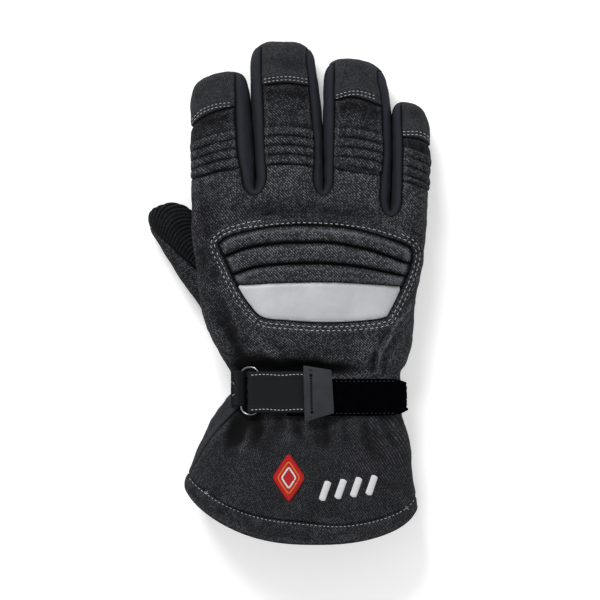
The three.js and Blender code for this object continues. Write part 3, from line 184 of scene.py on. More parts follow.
lines = add_node(twill, "ShaderNodeTexWave", {
    "Vector": turned, "Scale": 2 * math.pi / WAVE_TURN / LINE_PITCH, "Distortion": 0.4,
    "Detail": 1.0, "Detail Scale": 2.0,
}).outputs["Fac"]
lit = maths(twill, "MULTIPLY", crest, ramp(twill, shade, 0.05, 0.95, 0.32, 1.24))
fleck = maths(twill, "MULTIPLY", lit, ramp(twill, lines, 0.15, 0.75, 0.1, 1.05))
twill_height = maths(twill, "ADD", crest, lines)
twill_out = add_node(twill, "NodeGroupOutput")
twill.links.new(fleck, twill_out.inputs[0])
twill.links.new(twill_height, twill_out.inputs[1])


def cloth(name, dark, light, zoom=1.0, bump=0.5, roughness=0.95, worn=(0.75, 1.1), specular=0.1):
    """A woven material: dark threads with lighter flecks, lighter in random worn patches. A per-point
    attribute paints shade into creases, seams and low places, and paints highlights on the crests."""
    material, tree, shader = new_material(name, {"Roughness": roughness, "Specular IOR Level": specular})
    uv = add_node(tree, "ShaderNodeUVMap", uv_map="UVMap").outputs[0]
    scaled = add_node(tree, "ShaderNodeMapping", {"Vector": uv, "Scale": (zoom, zoom, zoom)}).outputs[0]
    weave = add_node(tree, "ShaderNodeGroup", node_tree=twill)
    tree.links.new(scaled, weave.inputs[0])
    rubbed_and_shaded = ramp(tree, noise(tree, object_place(tree), 42.0, 3.0), 0.32, 0.7, *worn)
    painted_relief_light = add_node(tree, "ShaderNodeAttribute", attribute_name="painted_relief_light").outputs["Fac"]
    fine = noise(tree, scaled, 2.4, 2.0)
    speck = maths(tree, "MULTIPLY", weave.outputs[0], ramp(tree, fine, 0.25, 0.75, 0.75, 1.2))
    threads = mixed(tree, maths(tree, "MULTIPLY", speck, rubbed_and_shaded), dark, light)
    # Painted highlight where the attribute is above 0.92, towards the light threads' colour; painted shade
    # where it is below 1, down to a fifth of the dark threads' colour.
    painted_crest_light = mixed(tree, ramp(tree, painted_relief_light, 0.92, 1.5, 0.0, 0.5), threads, light)
    shaded = mixed(tree, ramp(tree, painted_relief_light, 0.0, 1.0), tuple(0.2 * c for c in dark), painted_crest_light)
    height = maths(tree, "ADD", weave.outputs[1], maths(tree, "MULTIPLY", fine, 0.9))
    dressed(tree, shader, shaded, height, bump, WEAVE_RELIEF / zoom)
    return material


SHELL = cloth("shell_twill", (0.0130, 0.0134, 0.0155), (0.148, 0.153, 0.172))

# All sizes of the glove are in millimetres. SQUARENESS is the exponent of its sections, SUNK how far below
# the floor their lowest point would lie, GAP the joint between two panels, and MM a millimetre in metres.
SQUARENESS = 2.5
SUNK = 2
GAP = 0.3
MM = 0.001
# The hand's and cuff's sections: place along Y, left edge, right edge, crown, widest line at the left and
# right, underside, lift of its left side over a level part and then a slope.
BODY = [
    (-142, -60.5, 71.7, 47, 21, 19, 0, 0),
    (-119, -59.6, 71.1, 47.5, 21, 19, 0, 0),
    (-109, -58.9, 69.6, 47, 21, 19, 0, 0),
    (-94, -54.6, 67.9, 45, 21, 19, 0, 0),
    (-80, -48.4, 65.8, 42, 20.5, 19, 1, 0),
    (-73, -44.6, 64.2, 38, 19, 18.5, 2.6, 0),
    (-69, -42.0, 62.8, 36.6, 18, 18.5, 3.4, 0),
    (-65, -39.4, 62.4, 36, 17.5, 18.5, 3.4, 0),
    (-61, -36.6, 62.4, 36, 17.5, 18.5, 3.4, 0),
    (-54, -32.4, 62.2, 36, 17.5, 18.5, 3.4, 0),
    (-45, -33.2, 61.8, 36, 17.5, 18.5, 3.4, 0),
    (-40, -35.6, 64.2, 38, 20, 18.5, 3.0, 0),
    (-27, -42.6, 67.8, 41.5, 22, 18.5, 0.6, 3),
    (-15, -47.9, 69.6, 43, 24.5, 18.5, 0, 11),
    (-4, -50.6, 71.0, 43.5, 26.5, 18.5, 0, 17),
    (7, -51.6, 72.6, 43.5, 27.5, 18.5, 0, 20),
    (29, -53.9, 75.7, 42.5, 27.5, 18.5, 0, 20.5),
    (41, -55.2, 76.5, 41, 26, 18, 0, 18),
    (52, -55.3, 77.0, 39, 22, 17, 0, 9),
    (63, -55.0, 77.6, 37, 17.5, 16.2, 0, 0),
    (80, -54.8, 78.0, 34, 15, 15, 0, 0),
]
LIFT_FLAT, LIFT_REACH = 13, 31
# The fingers' sections: place along Y, left and right edge, left and right seam, crown, widest line.
FINGERS = {
    "index": dict(
        rows=[
            (20, -52.4, -19.0, -58, -24.4, 40, 27.5), (41, -55.0, -19.0, -58, -24.4, 38, 26),
            (52, -55.2, -19.1, -58, -24.6, 37, 22), (63, -55.0, -19.3, -58, -26.0, 35, 17.5),
            (80, -54.8, -20.3, -58, -29.2, 32, 15), (102, -55.0, -22.1, -58, -30.2, 29.5, 14),
            (112, -55.2, -23.2, -58, -30.4, 29, 14),
        ],
        dome=105, tip=123.0, dullness=2.9, slant=0.18, closes=0.62, back_from=46, back_to=205,
        cap=[(-56, 92), (-49, 98.4), (-40, 101.5), (-30, 102.4)],
        ribs=(68.5, 89, 0.006, 0.22),
    ),
    "middle": dict(
        rows=[
            (20, -18.4, 18.4, -13.4, 13.6, 43, 19), (52, -18.7, 18.5, -13.4, 13.6, 39, 17.5),
            (63, -18.9, 18.5, -13.6, 13.6, 37, 17), (80, -19.4, 18.3, -14.4, 13.6, 34, 15.5),
            (102, -21.2, 17.2, -15.2, 12.2, 31.5, 14.5), (119, -21.9, 15.2, -16.0, 10.4, 30, 14),
            (128, -22.1, 14.0, -16.4, 9.4, 29.5, 14),
        ],
        dome=124, tip=140.5, dullness=2.8, slant=-0.03, closes=0.82, back_from=46, back_to=134,
        cap=[(-17, 115), (-2, 116.6), (12, 115)],
        ribs=(71.5, 92.5, 0.008, -0.05),
    ),
    "ring": dict(
        rows=[
            (20, 19.2, 55.0, 23.4, 50.5, 41, 18.5), (42, 19.2, 55.4, 23.4, 50.5, 39.5, 18),
            (52, 19.2, 55.7, 23.4, 50.7, 38, 17), (63, 19.2, 56.3, 23.6, 51.0, 36, 16.5),
            (80, 19.0, 56.8, 24.2, 52.2, 33, 15.5), (97, 18.8, 56.7, 24.4, 52.0, 31, 14.5),
            (109, 18.9, 55.6, 24.4, 51.0, 30, 14), (119, 19.2, 54.4, 24.4, 49.2, 29.5, 14),
        ],
        dome=112, tip=130.4, dullness=2.7, slant=-0.14, closes=0.82, back_from=46, back_to=134,
        cap=[(24, 106), (36, 108.6), (52, 104.6)],
        ribs=(69.5, 91, 0.008, -0.14),
    ),
    "pinky": dict(
        rows=[
            (20, 55.8, 75.0, 61.2, 82, 38, 18.5), (41, 56.2, 76.5, 61.4, 82, 36.5, 18),
            (52, 56.8, 77.0, 61.8, 82, 35, 17), (63, 57.2, 77.6, 62.2, 82, 33.5, 16.2),
            (80, 57.6, 78.0, 62.6, 82, 31, 15), (92, 57.3, 77.6, 62.2, 82, 29, 14),
            (100, 56.9, 77.0, 61.8, 82, 28.5, 14),
        ],
        dome=92, tip=106, dullness=2.9, slant=-0.2, closes=0.62, back_from=-25, back_to=122,
        cap=[(61, 86), (70, 86.2), (76, 84.5), (79, 81)],
        ribs=(59, 80, 0.02, -0.3),
    ),
}
ORDER = ("index", "middle", "ring", "pinky")
# Neighbouring fingers, middle of the strip's turn between them, its depth at the seam and where they touch.
CROTCHES = [
    ("index", "middle", 64.0, 9.4, 6.4),
    ("middle", "ring", 63.0, 8.6, 6.1),
    ("ring", "pinky", 52.0, 9.4, 6.7),
]
BACK_SEAM = [
    (-56, 63.5), (-40, 67), (-22, 70), (0, 71), (18, 70), (30, 68), (45, 65.5),
    (57, 64), (66, 61.5), (80, 56),
]
KNUCKLE_LINE = [(-56, 54), (-19, 53), (19, 52.5), (56, 41), (80, 39)]
KNUCKLE_FADE = 24
WRIST_SEAM = -55.7
RIGHT_SEAM = -25
LEFT_SEAM = 205
SEAM_HALF = 0.04
# Folds: from one point to another in plan, width, and height of the ridge (or depth of the valley, negative).
# Their valleys also paint shade into the cloth.
FOLDS = [
    (-24, -70, -37, -88, 3.8, -2.0), (-31, -68, -45, -88, 3.2, 1.4), (-9, -70, -13, -92, 4.5, -1.6),
    (17, -70, 19, -90, 5.0, -1.5), (41, -70, 47, -94, 4.5, -1.8), (-46, -41, 40, -43, 5.0, -3.0),
    (-23, -57, -29, -84, 11, -3.8), (47, -33, 46, -46, 3.0, -1.6), (69, -6, 47, -36, 2.4, 1.3),
    (-44, -4, -22, -42, 4.0, -1.6),
]
# Finer folds, which only show in the cloth.
CREASES = [
    (71, -3, 55, -23, 1.0, 1.0), (66, -6, 50, -28, 2.0, -0.6), (60, -18, 48, -38, 1.0, 0.9),
    (54, -20, 45, -40, 1.8, -0.6), (50, -31, 49, -47, 1.1, 0.7), (53, -33, 53, -47, 1.6, -0.6),
    (-28, -18, 0, -42, 3.0, 0.8), (-20, -70, -30, -96, 1.6, 0.6), (-12, -68, -22, -88, 2.0, -0.6),
    (4, -70, 7, -86, 2.2, -0.5), (29, -70, 33, -88, 2.2, -0.5), (52, -70, 60, -92, 2.0, -0.6),
    (-34, -41.5, 44, -43, 3.2, -1.4), (-40, 6, -26, -22, 1.6, 0.6), (-44, 20, -40, -12, 2.2, -0.25),
    (-30, -30, 10, -36, 2.2, 0.6), (10, -36, 46, -37, 2.2, 0.5), (-46, 44, -24, 40, 3.0, 0.5),
    (-50, 34, -42, 10, 2.5, 0.5),
]
# Broad patches of painted shade: they darken the cloth of the hand and don't change its shape.
SHADED = [
    (-44, 46, 60, 42, 7.0, -2.3), (-46, -38, 40, -38, 7.0, -2.2), (-48, 76, -43, -20, 10, -1.9),
    (-44, 2, -20, -34, 5.0, -0.8), (74, 60, 66, -10, 7, -1.2), (-44, -8, -20, -46, 3.0, -1.2),
]


def smoothstep(value, low, high):
    share = np.clip((value - low) / (high - low), 0, 1)
    return share * share * (3 - 2 * share)


def power(value, exponent):
    return np.sign(value) * np.abs(value) ** exponent


def lerp(a, b, share):
    return a + (b - a) * share


def curve(points, at):
    """A smooth value between given places, which are in order along the first column."""
    place, value = np.array(points, float).T
    rise = np.diff(value) / np.diff(place)
    both = rise[:-1] * rise[1:]
    inner = np.where(both > 0, 2 * both / np.where(both > 0, rise[:-1] + rise[1:], 1), 0)
    slope = np.concatenate([rise[:1], inner, rise[-1:]])
    at = np.clip(at, place[0], place[-1])
    i = np.clip(np.searchsorted(place, at, side="left") - 1, 0, len(place) - 2)
    span = place[i + 1] - place[i]
    t = (at - place[i]) / span
    value_part = (2 * t**3 - 3 * t**2 + 1) * value[i] + (3 * t**2 - 2 * t**3) * value[i + 1]
    return value_part + span * ((t**3 - 2 * t**2 + t) * slope[i] + (t**3 - t**2) * slope[i + 1])


def columns(rows, at):
    """All the values of a table of sections at a place along it."""
    return [curve([(row[0], row[k]) for row in rows], at) for k in range(1, len(rows[0]))]


def digit_section(digit, at):
    """Centre, half width, rounding of the tip, crown, widest line and the two seams of a digit's section."""
    left, right, seam_left, seam_right, top, mid = columns(digit["rows"], np.minimum(at, digit["tip"]))
    past = np.clip((at - digit["dome"]) / (digit["tip"] - digit["dome"]), 0, 1)
    rounded = (1 - past ** digit["dullness"]) ** (1 / digit["dullness"])
    return (left + right) / 2, (right - left) / 2 * rounded, rounded, top, mid, seam_left, seam_right


def arch(share):
    """Height of a section at a share of its half width."""
    return np.maximum(0, 1 - np.abs(share) ** SQUARENESS) ** (1 / SQUARENESS)


def share_across(x, left, right):
    """Place across a section, from -1 at its left edge to 1 at its right."""
    return np.clip((x - (left + right) / 2) / ((right - left) / 2), -1, 1)


def fold_height(folds, x, y):
    """How far folds stand out or in at a point of the upper side."""
    height = 0
    for x1, y1, x2, y2, width, size in folds:
        dx, dy = x2 - x1, y2 - y1
        long = math.hypot(dx, dy)
        along = ((x - x1) * dx + (y - y1) * dy) / long**2
        off = ((x - x1) * dy - (y - y1) * dx) / long
        fade = smoothstep(along, 0, 0.35) * (1 - smoothstep(along, 0.6, 1.1))
        height = height + size * fade * np.exp(-((off / width) ** 2))
    return height


def fingers_top(x, y):
    """Height of the finger backs at x, with a level valley between the seams of two fingers."""
    sections = [digit_section(FINGERS[name], np.minimum(y, FINGERS[name]["dome"])) for name in ORDER]
    height = lambda s, at: s[4] + (s[3] - s[4]) * arch((at - s[0]) / s[1])
    value = height(sections[0], x)
    for this, following in zip(sections, sections[1:]):
        share = np.clip((x - this[6]) / (following[5] - this[6]), 0, 1)
        valley = lerp(height(this, this[6]), height(following, following[5]), share)
        value = np.where(x > this[6], np.where(x < following[5], valley, height(following, x)), value)
    return value


def middle_height(y, share):
    _, _, _, left_mid, right_mid, _, _ = columns(BODY, y)
    return right_mid + (left_mid - right_mid) * ((1 - share) / 2) ** 2


def hand_top(x, y):
    """Height of the hand's upper side at x and y."""
    left, right, top, _, _, _, _ = columns(BODY, y)
    share = share_across(x, left, right)
    mid = middle_height(y, share)
    crown = arch(share)
    body = mid + (top - mid) * crown + fold_height(FOLDS, x, y) * np.minimum(1, 1.6 * crown)
    line = curve(KNUCKLE_LINE, x)
    blend = smoothstep(y, line - KNUCKLE_FADE, line)
    return lerp(body, fingers_top(x, y), blend)


def hand_under(x, y, flat=True):
    """Height of the hand's underside at x and y."""
    left, right, _, _, _, base, lift = columns(BODY, y)
    share = share_across(x, left, right)
    mid = middle_height(y, share)
    low = lift * (1 - smoothstep(x - left, LIFT_FLAT, LIFT_REACH)) - SUNK
    under = mid - (mid - low) * arch(share)
    return np.maximum(under, base) if flat else under


def hand_point(y, angle, flat=True):
    """A point on the outside of the hand or cuff, at an angle round its section."""
    y, angle = np.broadcast_arrays(np.asarray(y, float), np.asarray(angle, float))
    left, right = columns(BODY, y)[:2]
    x = (left + right) / 2 + (right - left) / 2 * power(np.cos(angle), 2 / SQUARENESS)
    z = np.where(np.sin(angle) >= 0, hand_top(x, y), hand_under(x, y, flat))
    return np.stack([x, y, z], axis=-1)


def hand_angle(y, x):
    """Angle round the hand's section at y of the point of its upper side at x."""
    left, right = columns(BODY, np.asarray(y, float))[:2]
    return np.arccos(power(share_across(x, left, right), SQUARENESS / 2))


def normals(surface, a, b, step_a=0.05, step_b=0.004):
    """Unit normals of a surface function of two values, by small steps either way."""
    along_a = surface(a + step_a, b) - surface(a - step_a, b)
    along_b = surface(a, b + step_b) - surface(a, b - step_b)
    out = np.cross(along_a, along_b)
    size = np.linalg.norm(out, axis=-1, keepdims=True)
    return out / np.maximum(size, 1e-9)


def ripples(points, size, seed):
    """A smooth, seeded unevenness from about -1 to 1, with bumps of a size in millimetres."""
    chance = np.random.default_rng(seed)
    total = 0
    for _ in range(12):
        direction = chance.normal(size=3)
        direction *= 2 * math.pi / size * chance.uniform(0.6, 1.5) / np.linalg.norm(direction)
        total = total + np.sin(points @ direction + chance.uniform(0, 2 * math.pi))
    return total / 3.5


def rippled(points, *layers):
    """Several ripples together. Each has a height, a size of its bumps and a seed."""
    return sum(height * ripples(points, size, seed) for height, size, seed in layers)


def inside(outline, x, y):
    """Which points lie inside a closed outline in plan."""
    result = np.zeros(np.shape(x), bool)
    for (x1, y1), (x2, y2) in zip(outline, np.roll(outline, -1, axis=0)):
        if y1 != y2:
            crosses = (y1 > y) != (y2 > y)
            result ^= crosses & (x < (x2 - x1) * (y - y1) / (y2 - y1) + x1)
    return result


def nearest(outline, x, y):
    """The nearest point of a closed outline to each point, and its distance."""
    best = np.full(np.shape(x), 1e9)
    near_x, near_y = np.array(x, float), np.array(y, float)
    for (x1, y1), (x2, y2) in zip(outline, np.roll(outline, -1, axis=0)):
        dx, dy = x2 - x1, y2 - y1
        share = np.clip(((x - x1) * dx + (y - y1) * dy) / max(dx * dx + dy * dy, 1e-9), 0, 1)
        px, py = x1 + share * dx, y1 + share * dy
        distance = np.hypot(x - px, y - py)
        closer = distance < best
        best = np.where(closer, distance, best)
        near_x = np.where(closer, px, near_x)
        near_y = np.where(closer, py, near_y)
    return near_x, near_y, best


def rounded_outline(points, per_side=8):
    """A closed outline through given corners, with its sides bent smoothly from one to the next."""
    p = np.array(points, float)
    before, after, beyond = np.roll(p, 1, 0), np.roll(p, -1, 0), np.roll(p, -2, 0)
    result = []
    for t in np.arange(per_side) / per_side:
        result.append(0.5 * (2 * p + (after - before) * t + (2 * before - 5 * p + 4 * after - beyond) * t**2
                             + (3 * p - before - 3 * after + beyond) * t**3))
    return np.stack(result, axis=1).reshape(-1, 2)


def cells_of(keep, ring):
    """The corners of the kept cells of a grid, as vertex numbers."""
    rows, across = keep.shape
    wide = across if ring else across + 1
    i, j = np.nonzero(keep)
    k = (j + 1) % wide
    return np.stack([i * wide + j, i * wide + k, (i + 1) * wide + k, (i + 1) * wide + j], axis=1)


def all_cells(grid, ring=False):
    return np.ones((grid.shape[0] - 1, grid.shape[1] - (0 if ring else 1)), bool)


def centres(value):
    """Values at the middles of a grid's cells."""
    return (value[:-1, :-1] + value[1:, :-1] + value[:-1, 1:] + value[1:, 1:]) / 4


def border_of(kept, dropped):
    """The points of a grid that belong to kept and to dropped cells."""
    touch = lambda mask: np.maximum.reduce([
        np.pad(mask, ((a, 1 - a), (b, 1 - b))) for a in (0, 1) for b in (0, 1)])
    return touch(kept) & touch(dropped)


def marked(grid, *spots, rest=False):
    """Marks some points of a grid, or all but them."""
    marks = np.full(grid.shape, rest)
    for spot in spots:
        marks[spot] = not rest
    return marks


def facing_out(cells, points, out):
    """The cells, turned over if they face against the given directions."""
    corners = points[cells]
    facing = np.cross(corners[:, 1] - corners[:, 0], corners[:, 3] - corners[:, 0])
    return cells[:, ::-1] if (facing * out[cells[:, 0]]).sum() < 0 else cells


def run_along(grid, axis):
    """How far from its first row or column each point of a grid lies."""
    steps = np.diff(grid, axis=axis, prepend=np.take(grid, [0], axis))
    return np.linalg.norm(steps, axis=-1).cumsum(axis)


def open_edges(cells):
    """The directed edges that only one cell has."""
    edges = np.concatenate([cells[:, [m, (m + 1) % 4]] for m in range(4)])
    key = np.sort(edges, axis=1)
    code = key[:, 0].astype(np.int64) * 10_000_000 + key[:, 1]
    _, first, count = np.unique(code, return_index=True, return_counts=True)
    return edges[first[count == 1]]


def distance_to(points, line):
    """Distance from each point to the nearest of the points of a line."""
    result = np.empty(len(points))
    for start in range(0, len(points), 3000):
        part = points[start:start + 3000]
        gaps = (part**2).sum(1)[:, None] + (line**2).sum(1)[None] - 2 * part @ line.T
        result[start:start + 3000] = np.sqrt(np.maximum(gaps.min(1), 0))
    return result


def quarter_round(share):
    """Height of a rounded edge: 1 where the share is 0, and 0 where it is 1."""
    return np.sqrt(1 - np.clip(share, 0, 1) ** 2)


def sewn(distance, depth, reach):
    """How a panel rolls down to its sewn edge."""
    return -depth * (1 - quarter_round(1 - distance / reach))


def add_piece(name, points, cells, uv, material, nodes=(), painted_relief_light=None):
    """A piece of the glove from points in millimetres. It rides on the glove and stands for its CAD nodes.
    The last argument gives painted shade at each point, from 0 in a crease to 1; above 1 it is a painted
    highlight."""
    _, first, same = np.unique(np.round(points, 4), axis=0, return_index=True, return_inverse=True)
    same = same.reshape(-1)
    used, numbers = np.unique(same[cells], return_inverse=True)
    numbers = numbers.reshape(cells.shape)
    polygons, corners = [], []
    for quad, source in zip(numbers.tolist(), cells.tolist()):
        kept = [m for m in range(4) if quad[m] != quad[m - 1]]
        if len(kept) > 2:
            polygons.append([quad[m] for m in kept])
            corners.extend(source[m] for m in kept)
    mesh = bpy.data.meshes.new(name)
    mesh.from_pydata((points[first[used]] * MM).tolist(), [], polygons)
    layer = mesh.uv_layers.new(name="UVMap")
    layer.data.foreach_set("uv", np.asarray(uv, np.float32)[corners].ravel())
    # Painted shade and highlight of each point, kept as an attribute for the cloth's shader.
    rubbed_and_shaded = mesh.attributes.new("painted_relief_light", "FLOAT", "POINT")
    shares = np.ones(len(points)) if painted_relief_light is None else painted_relief_light
    rubbed_and_shaded.data.foreach_set("value", np.asarray(shares, np.float32)[first[used]])
    mesh.shade_smooth()
    mesh.materials.append(material)
    piece = bpy.data.objects.new(name, mesh)
    bpy.context.scene.collection.objects.link(piece)
    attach(piece, "root")
    if nodes:
        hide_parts(*nodes)
    return piece


def add_sheet(name, outer, inner, cells, uv, material, nodes, painted_relief_light=None):
    """A closed sheet from the points of its two sides, with walls round its rims."""
    rim, count = open_edges(cells), len(outer)
    walls = np.stack([rim[:, 1], rim[:, 0], rim[:, 0] + count, rim[:, 1] + count], axis=1)
    faces = np.concatenate([cells, cells[:, ::-1] + count, walls])
    both = np.concatenate([outer, inner])
    return add_piece(name, both, faces, np.concatenate([uv, uv]), material, nodes, painted_relief_light)


def blurred(field, size):
    """A grid of values averaged over a square of cells."""
    for axis in (0, 1):
        margins = [(size + 1, size) if k == axis else (0, 0) for k in (0, 1)]
        wide = np.pad(field, margins, mode="edge").cumsum(axis)
        high, low = np.arange(2 * size + 1, wide.shape[axis]), np.arange(0, wide.shape[axis] - 2 * size - 1)
        field = (np.take(wide, high, axis) - np.take(wide, low, axis)) / (2 * size + 1)
    return field


def painted_relief_light_of(height, shape, distance, valley_shade=0.0, size=5, contrast=0.75):
    """Painted light from the relief: painted shade where the cloth lies lower than the cloth round it and at
    its seams, and a painted highlight where it lies higher.
    """
    grid = np.asarray(height).reshape(shape)
    relief = (grid - blurred(grid, size)).ravel() + valley_shade
    return np.clip(0.8 + contrast * relief, 0.0, 1.6) * (0.35 + 0.65 * smoothstep(distance, -0.4, 1.4))


def add_wall(name, a, b, surface, material, nodes, lift, wall=2.4, keep=None, ring=False,
             depth=1.0, reach=2.2, tip=None, rolled=None, valley_shade=None, panel_tone=1.0, contrast=0.75):
    """A sheet of cloth over a surface: its outside, its inside and its edges, which roll down to their seams.
    lift: extra height of the outside, from its points and their distances to the edge.
    rolled: which points of the grid can be on a rolled edge, where not all of them can.
    The fold depths only paint shade into the cloth and don't change its shape; the panel's tone factor
    darkens it all over.
    contrast: how much darker, by painted shade, its low places are than its high ones."""
    point = surface(a, b)
    out = normals(lambda p, q: surface(p, q, False), a, b)
    if tip is not None:
        out = np.where(tip[0][..., None], np.array(tip[1], float), out)
    flat, out = point.reshape(-1, 3), out.reshape(-1, 3)
    cells = facing_out(cells_of(all_cells(a, ring) if keep is None else keep, ring), flat, out)
    edge = np.unique(open_edges(cells))
    edge = edge if rolled is None else edge[rolled.ravel()[edge]]
    distance = distance_to(flat, flat[edge])
    height = sewn(distance, depth, reach) + lift(flat, distance)
    # Painted shade in the folds: they darken the colour and don't change the shape.
    sunk = 0 if valley_shade is None else 0.28 * np.minimum(valley_shade(flat), 0)
    painted_relief_light = panel_tone * painted_relief_light_of(height, point.shape[:2], distance, sunk, contrast=contrast)
    outer = flat + out * height[:, None]
    outer[:, 2] = np.maximum(outer[:, 2], 0)
    across, along = run_along(point, 1), run_along(point, 0)
    middle = point.shape[1] // 2
    uv = np.stack([across - across[:, middle:middle + 1], along], axis=-1).reshape(-1, 2)
    # The inner side gets one fixed, lower value: painted shade inside the glove.
    painted_relief_lights = np.concatenate([painted_relief_light, 0.65 + 0 * painted_relief_light])
    return add_sheet(name, outer, flat - out * wall, cells, uv, material, nodes, painted_relief_lights)


def hand_grid(rows, right, left, parts):
    """Places and angles of a panel of the hand. rows: each row's place along Y, as a function of x.
    right, left: angles of its seams in degrees, or functions of y. parts: shares of the way between them."""
    seam = lambda side, y: side(y) if callable(side) else side + 0 * y
    place = np.array([row(0.0) for row in rows])[:, None] + np.zeros((1, len(parts)))
    for _ in range(8):
        angle = np.radians(lerp(seam(right, place), seam(left, place), parts[None]))
        x = hand_point(place, angle)[..., 0]
        place = np.stack([row(x[i]) + np.zeros(len(parts)) for i, row in enumerate(rows)])
    return place, angle


def even_parts(y, right, left, count):
    """Shares of the way between two angles that lie evenly spaced along the section at y."""
    shares = np.linspace(0, 1, 3000)
    fine = np.radians(np.linspace(right, left, len(shares)))
    steps = np.linalg.norm(np.diff(hand_point(y, fine), axis=0), axis=1)
    run = np.concatenate([[0], np.cumsum(steps)])
    return np.interp(np.linspace(0, run[-1], count), run, shares)


def fitted(place, angle, keep, outline, under=False, hole=True):
    """Drops the cells of a grid inside a hole's outline, or outside a rim's, and moves the edge onto it."""
    x = hand_point(place, angle)[..., 0]
    within = inside(outline, centres(x), centres(place))
    upper = np.sin(centres(angle)) > 0
    drop = (within if hole else ~within) & (~upper if under else upper)
    border = border_of(keep & ~drop, keep & drop)
    near_x, near_y, _ = nearest(outline, x[border], place[border])
    turn = hand_angle(near_y, near_x)
    place[border] = near_y
    angle[border] = 2 * math.pi - turn if under else turn
    return keep & ~drop


def strip_outline(crotch, up_to, margin):
    """The outline in plan of the strip between two fingers, from its turn up to a place along Y."""
    first, second, turn, deep, _ = crotch
    at = np.linspace(turn, up_to, 12)
    left = digit_section(FINGERS[first], np.minimum(at, FINGERS[first]["dome"]))[6] - margin
    right = digit_section(FINGERS[second], np.minimum(at, FINGERS[second]["dome"]))[5] + margin
    middle, half = (left[0] + right[0]) / 2, (right[0] - left[0]) / 2
    round_ = np.linspace(0, math.pi, 26)[1:-1]
    arc = np.stack([middle - half * np.cos(round_), turn - (deep + margin) * np.sin(round_)], axis=1)
    return np.concatenate([np.stack([left, at], 1)[::-1], arc, np.stack([right, at], 1)])


WINDOW = rounded_outline([
    (-39.5, 25.4), (-38.1, 28.4), (-33.2, 31.5), (-20.5, 34.9), (-2, 37.1), (17, 37.2), (32, 35.9),
    (48, 32.3), (62.9, 27.3), (67.6, 23.6), (67.9, 18.3), (64.6, 7.6), (56.4, -9.6), (51.5, -14.6),
    (32, -16.7), (15, -16.9), (-1, -15.9), (-15, -14.2), (-22.5, -7.2), (-29, 2.7), (-34.8, 15.0),
])
ROW_NEAR, ROW_FAR, ROW_CLOSER = 2.1, 4.2, 0.9


def window_lift(x, y):
    """Height of the doubled cloth round the window, pressed in along its two rows of stitches."""
    _, _, out = nearest(WINDOW, x, y)
    band = 0.45 * (1 - smoothstep(out, 5.0, 7.0))
    closer = ROW_CLOSER * smoothstep(y, 35, 38)
    near = 0.45 * np.exp(-((out - ROW_NEAR + closer) / 0.55) ** 2)
    far = 0.45 * np.exp(-((out - ROW_FAR) / 0.55) ** 2)
    return band - (near + far)


def hand_back_lift(p, distance):
    crease = fold_height(CREASES, p[:, 0], p[:, 1])
    uneven = rippled(p, (0.45, 34, 1), (0.16, 11, 2), (0.05, 4, 3))
    pucker = 0.14 * ripples(p, 3.6, 4) * np.exp(-distance / 3)
    knuckle = 0.5 * np.exp(-((knuckles(p[:, 0]) - p[:, 1]) / 0.9) ** 2)
    return (crease + uneven) * smoothstep(distance, 0.5, 6) + pucker - knuckle + window_lift(p[:, 0], p[:, 1])


HAND_ROWS, HAND_COLUMNS, EVEN_AT, PAST_KNUCKLES = 138, 204, 5, 90
knuckles = lambda x: curve(BACK_SEAM, x) - GAP / 6
hand_low = WRIST_SEAM + GAP / 2
hand_rows = [lambda x, t=t: lerp(hand_low, knuckles(x), t) for t in np.linspace(0, 1, HAND_ROWS)]
back_right, back_left = RIGHT_SEAM + SEAM_HALF, LEFT_SEAM - SEAM_HALF
back_parts = even_parts(EVEN_AT, back_right, back_left, HAND_COLUMNS)
place, angle = hand_grid(hand_rows, back_right, back_left, back_parts)
keep = fitted(place, angle, all_cells(place), WINDOW)
for crotch in CROTCHES:
    keep = fitted(place, angle, keep, strip_outline(crotch, PAST_KNUCKLES, GAP / 2))
add_wall(
    "back_of_hand", place, angle, hand_point, SHELL, ["hand_back"], lift=hand_back_lift, panel_tone=0.93,
    keep=keep, rolled=marked(place, -1, rest=True),
    valley_shade=lambda p: fold_height(FOLDS + SHADED, p[:, 0], p[:, 1]))

# Palm: one plain woven panel from the wrist to the fingertips, seen from below and from the sides.
# Its outline follows the strips between the fingers and the edges of the fingertip caps.
UNDER = cloth("palm_weave", (0.0150, 0.0155, 0.0178), (0.066, 0.068, 0.076), zoom=1.9, worn=(0.7, 1.0))


def fingers_under(x, y):
    """Height of the fingers' underside at x, level between the seams of two fingers."""
    picks, values = [], []
    for k, name in enumerate(ORDER):
        finger = FINGERS[name]
        straight = digit_section(finger, np.minimum(y, finger["dome"]))
        picks.append(x < straight[0] + straight[1] + 0.6)
        middle = digit_section(finger, y)[0]
        lean = finger["slant"] * smoothstep(y, finger["dome"] - 15, finger["dome"] + 2) * (x - middle)
        s = digit_section(finger, np.minimum(y - lean, finger["tip"]))
        inner = np.clip(x, -99 if k == 0 else s[5], 99 if k == 3 else s[6])
        values.append(s[4] - (s[4] + SUNK) * s[2] * arch((inner - s[0]) / np.maximum(s[1], 1)))
    return np.select(picks[:3], values[:3], values[3])


def palm_point(y, angle, flat=True):
    """A point on the underside of the hand, which runs on under the fingers."""
    point = hand_point(y, angle, flat)
    blend = smoothstep(point[..., 1], 40, 66)
    point[..., 2] = lerp(point[..., 2], fingers_under(point[..., 0], point[..., 1]), blend)
    if flat:
        point[..., 2] = np.maximum(point[..., 2], 0)
    return point


def dome_at(digit, share):
    """Place along a digit where a given share of its dome's width is left."""
    dull = digit["dullness"]
    return digit["dome"] + (digit["tip"] - digit["dome"]) * (1 - share**dull) ** (1 / dull)


def cap_start(name):
    return dome_at(FINGERS[name], FINGERS[name]["closes"])


def tip_line(name, x):
    """Where the palm ends under a fingertip, as a place along Y."""
    end = cap_start(name) - GAP / 2
    return end + FINGERS[name]["slant"] * (x - digit_section(FINGERS[name], end)[0])


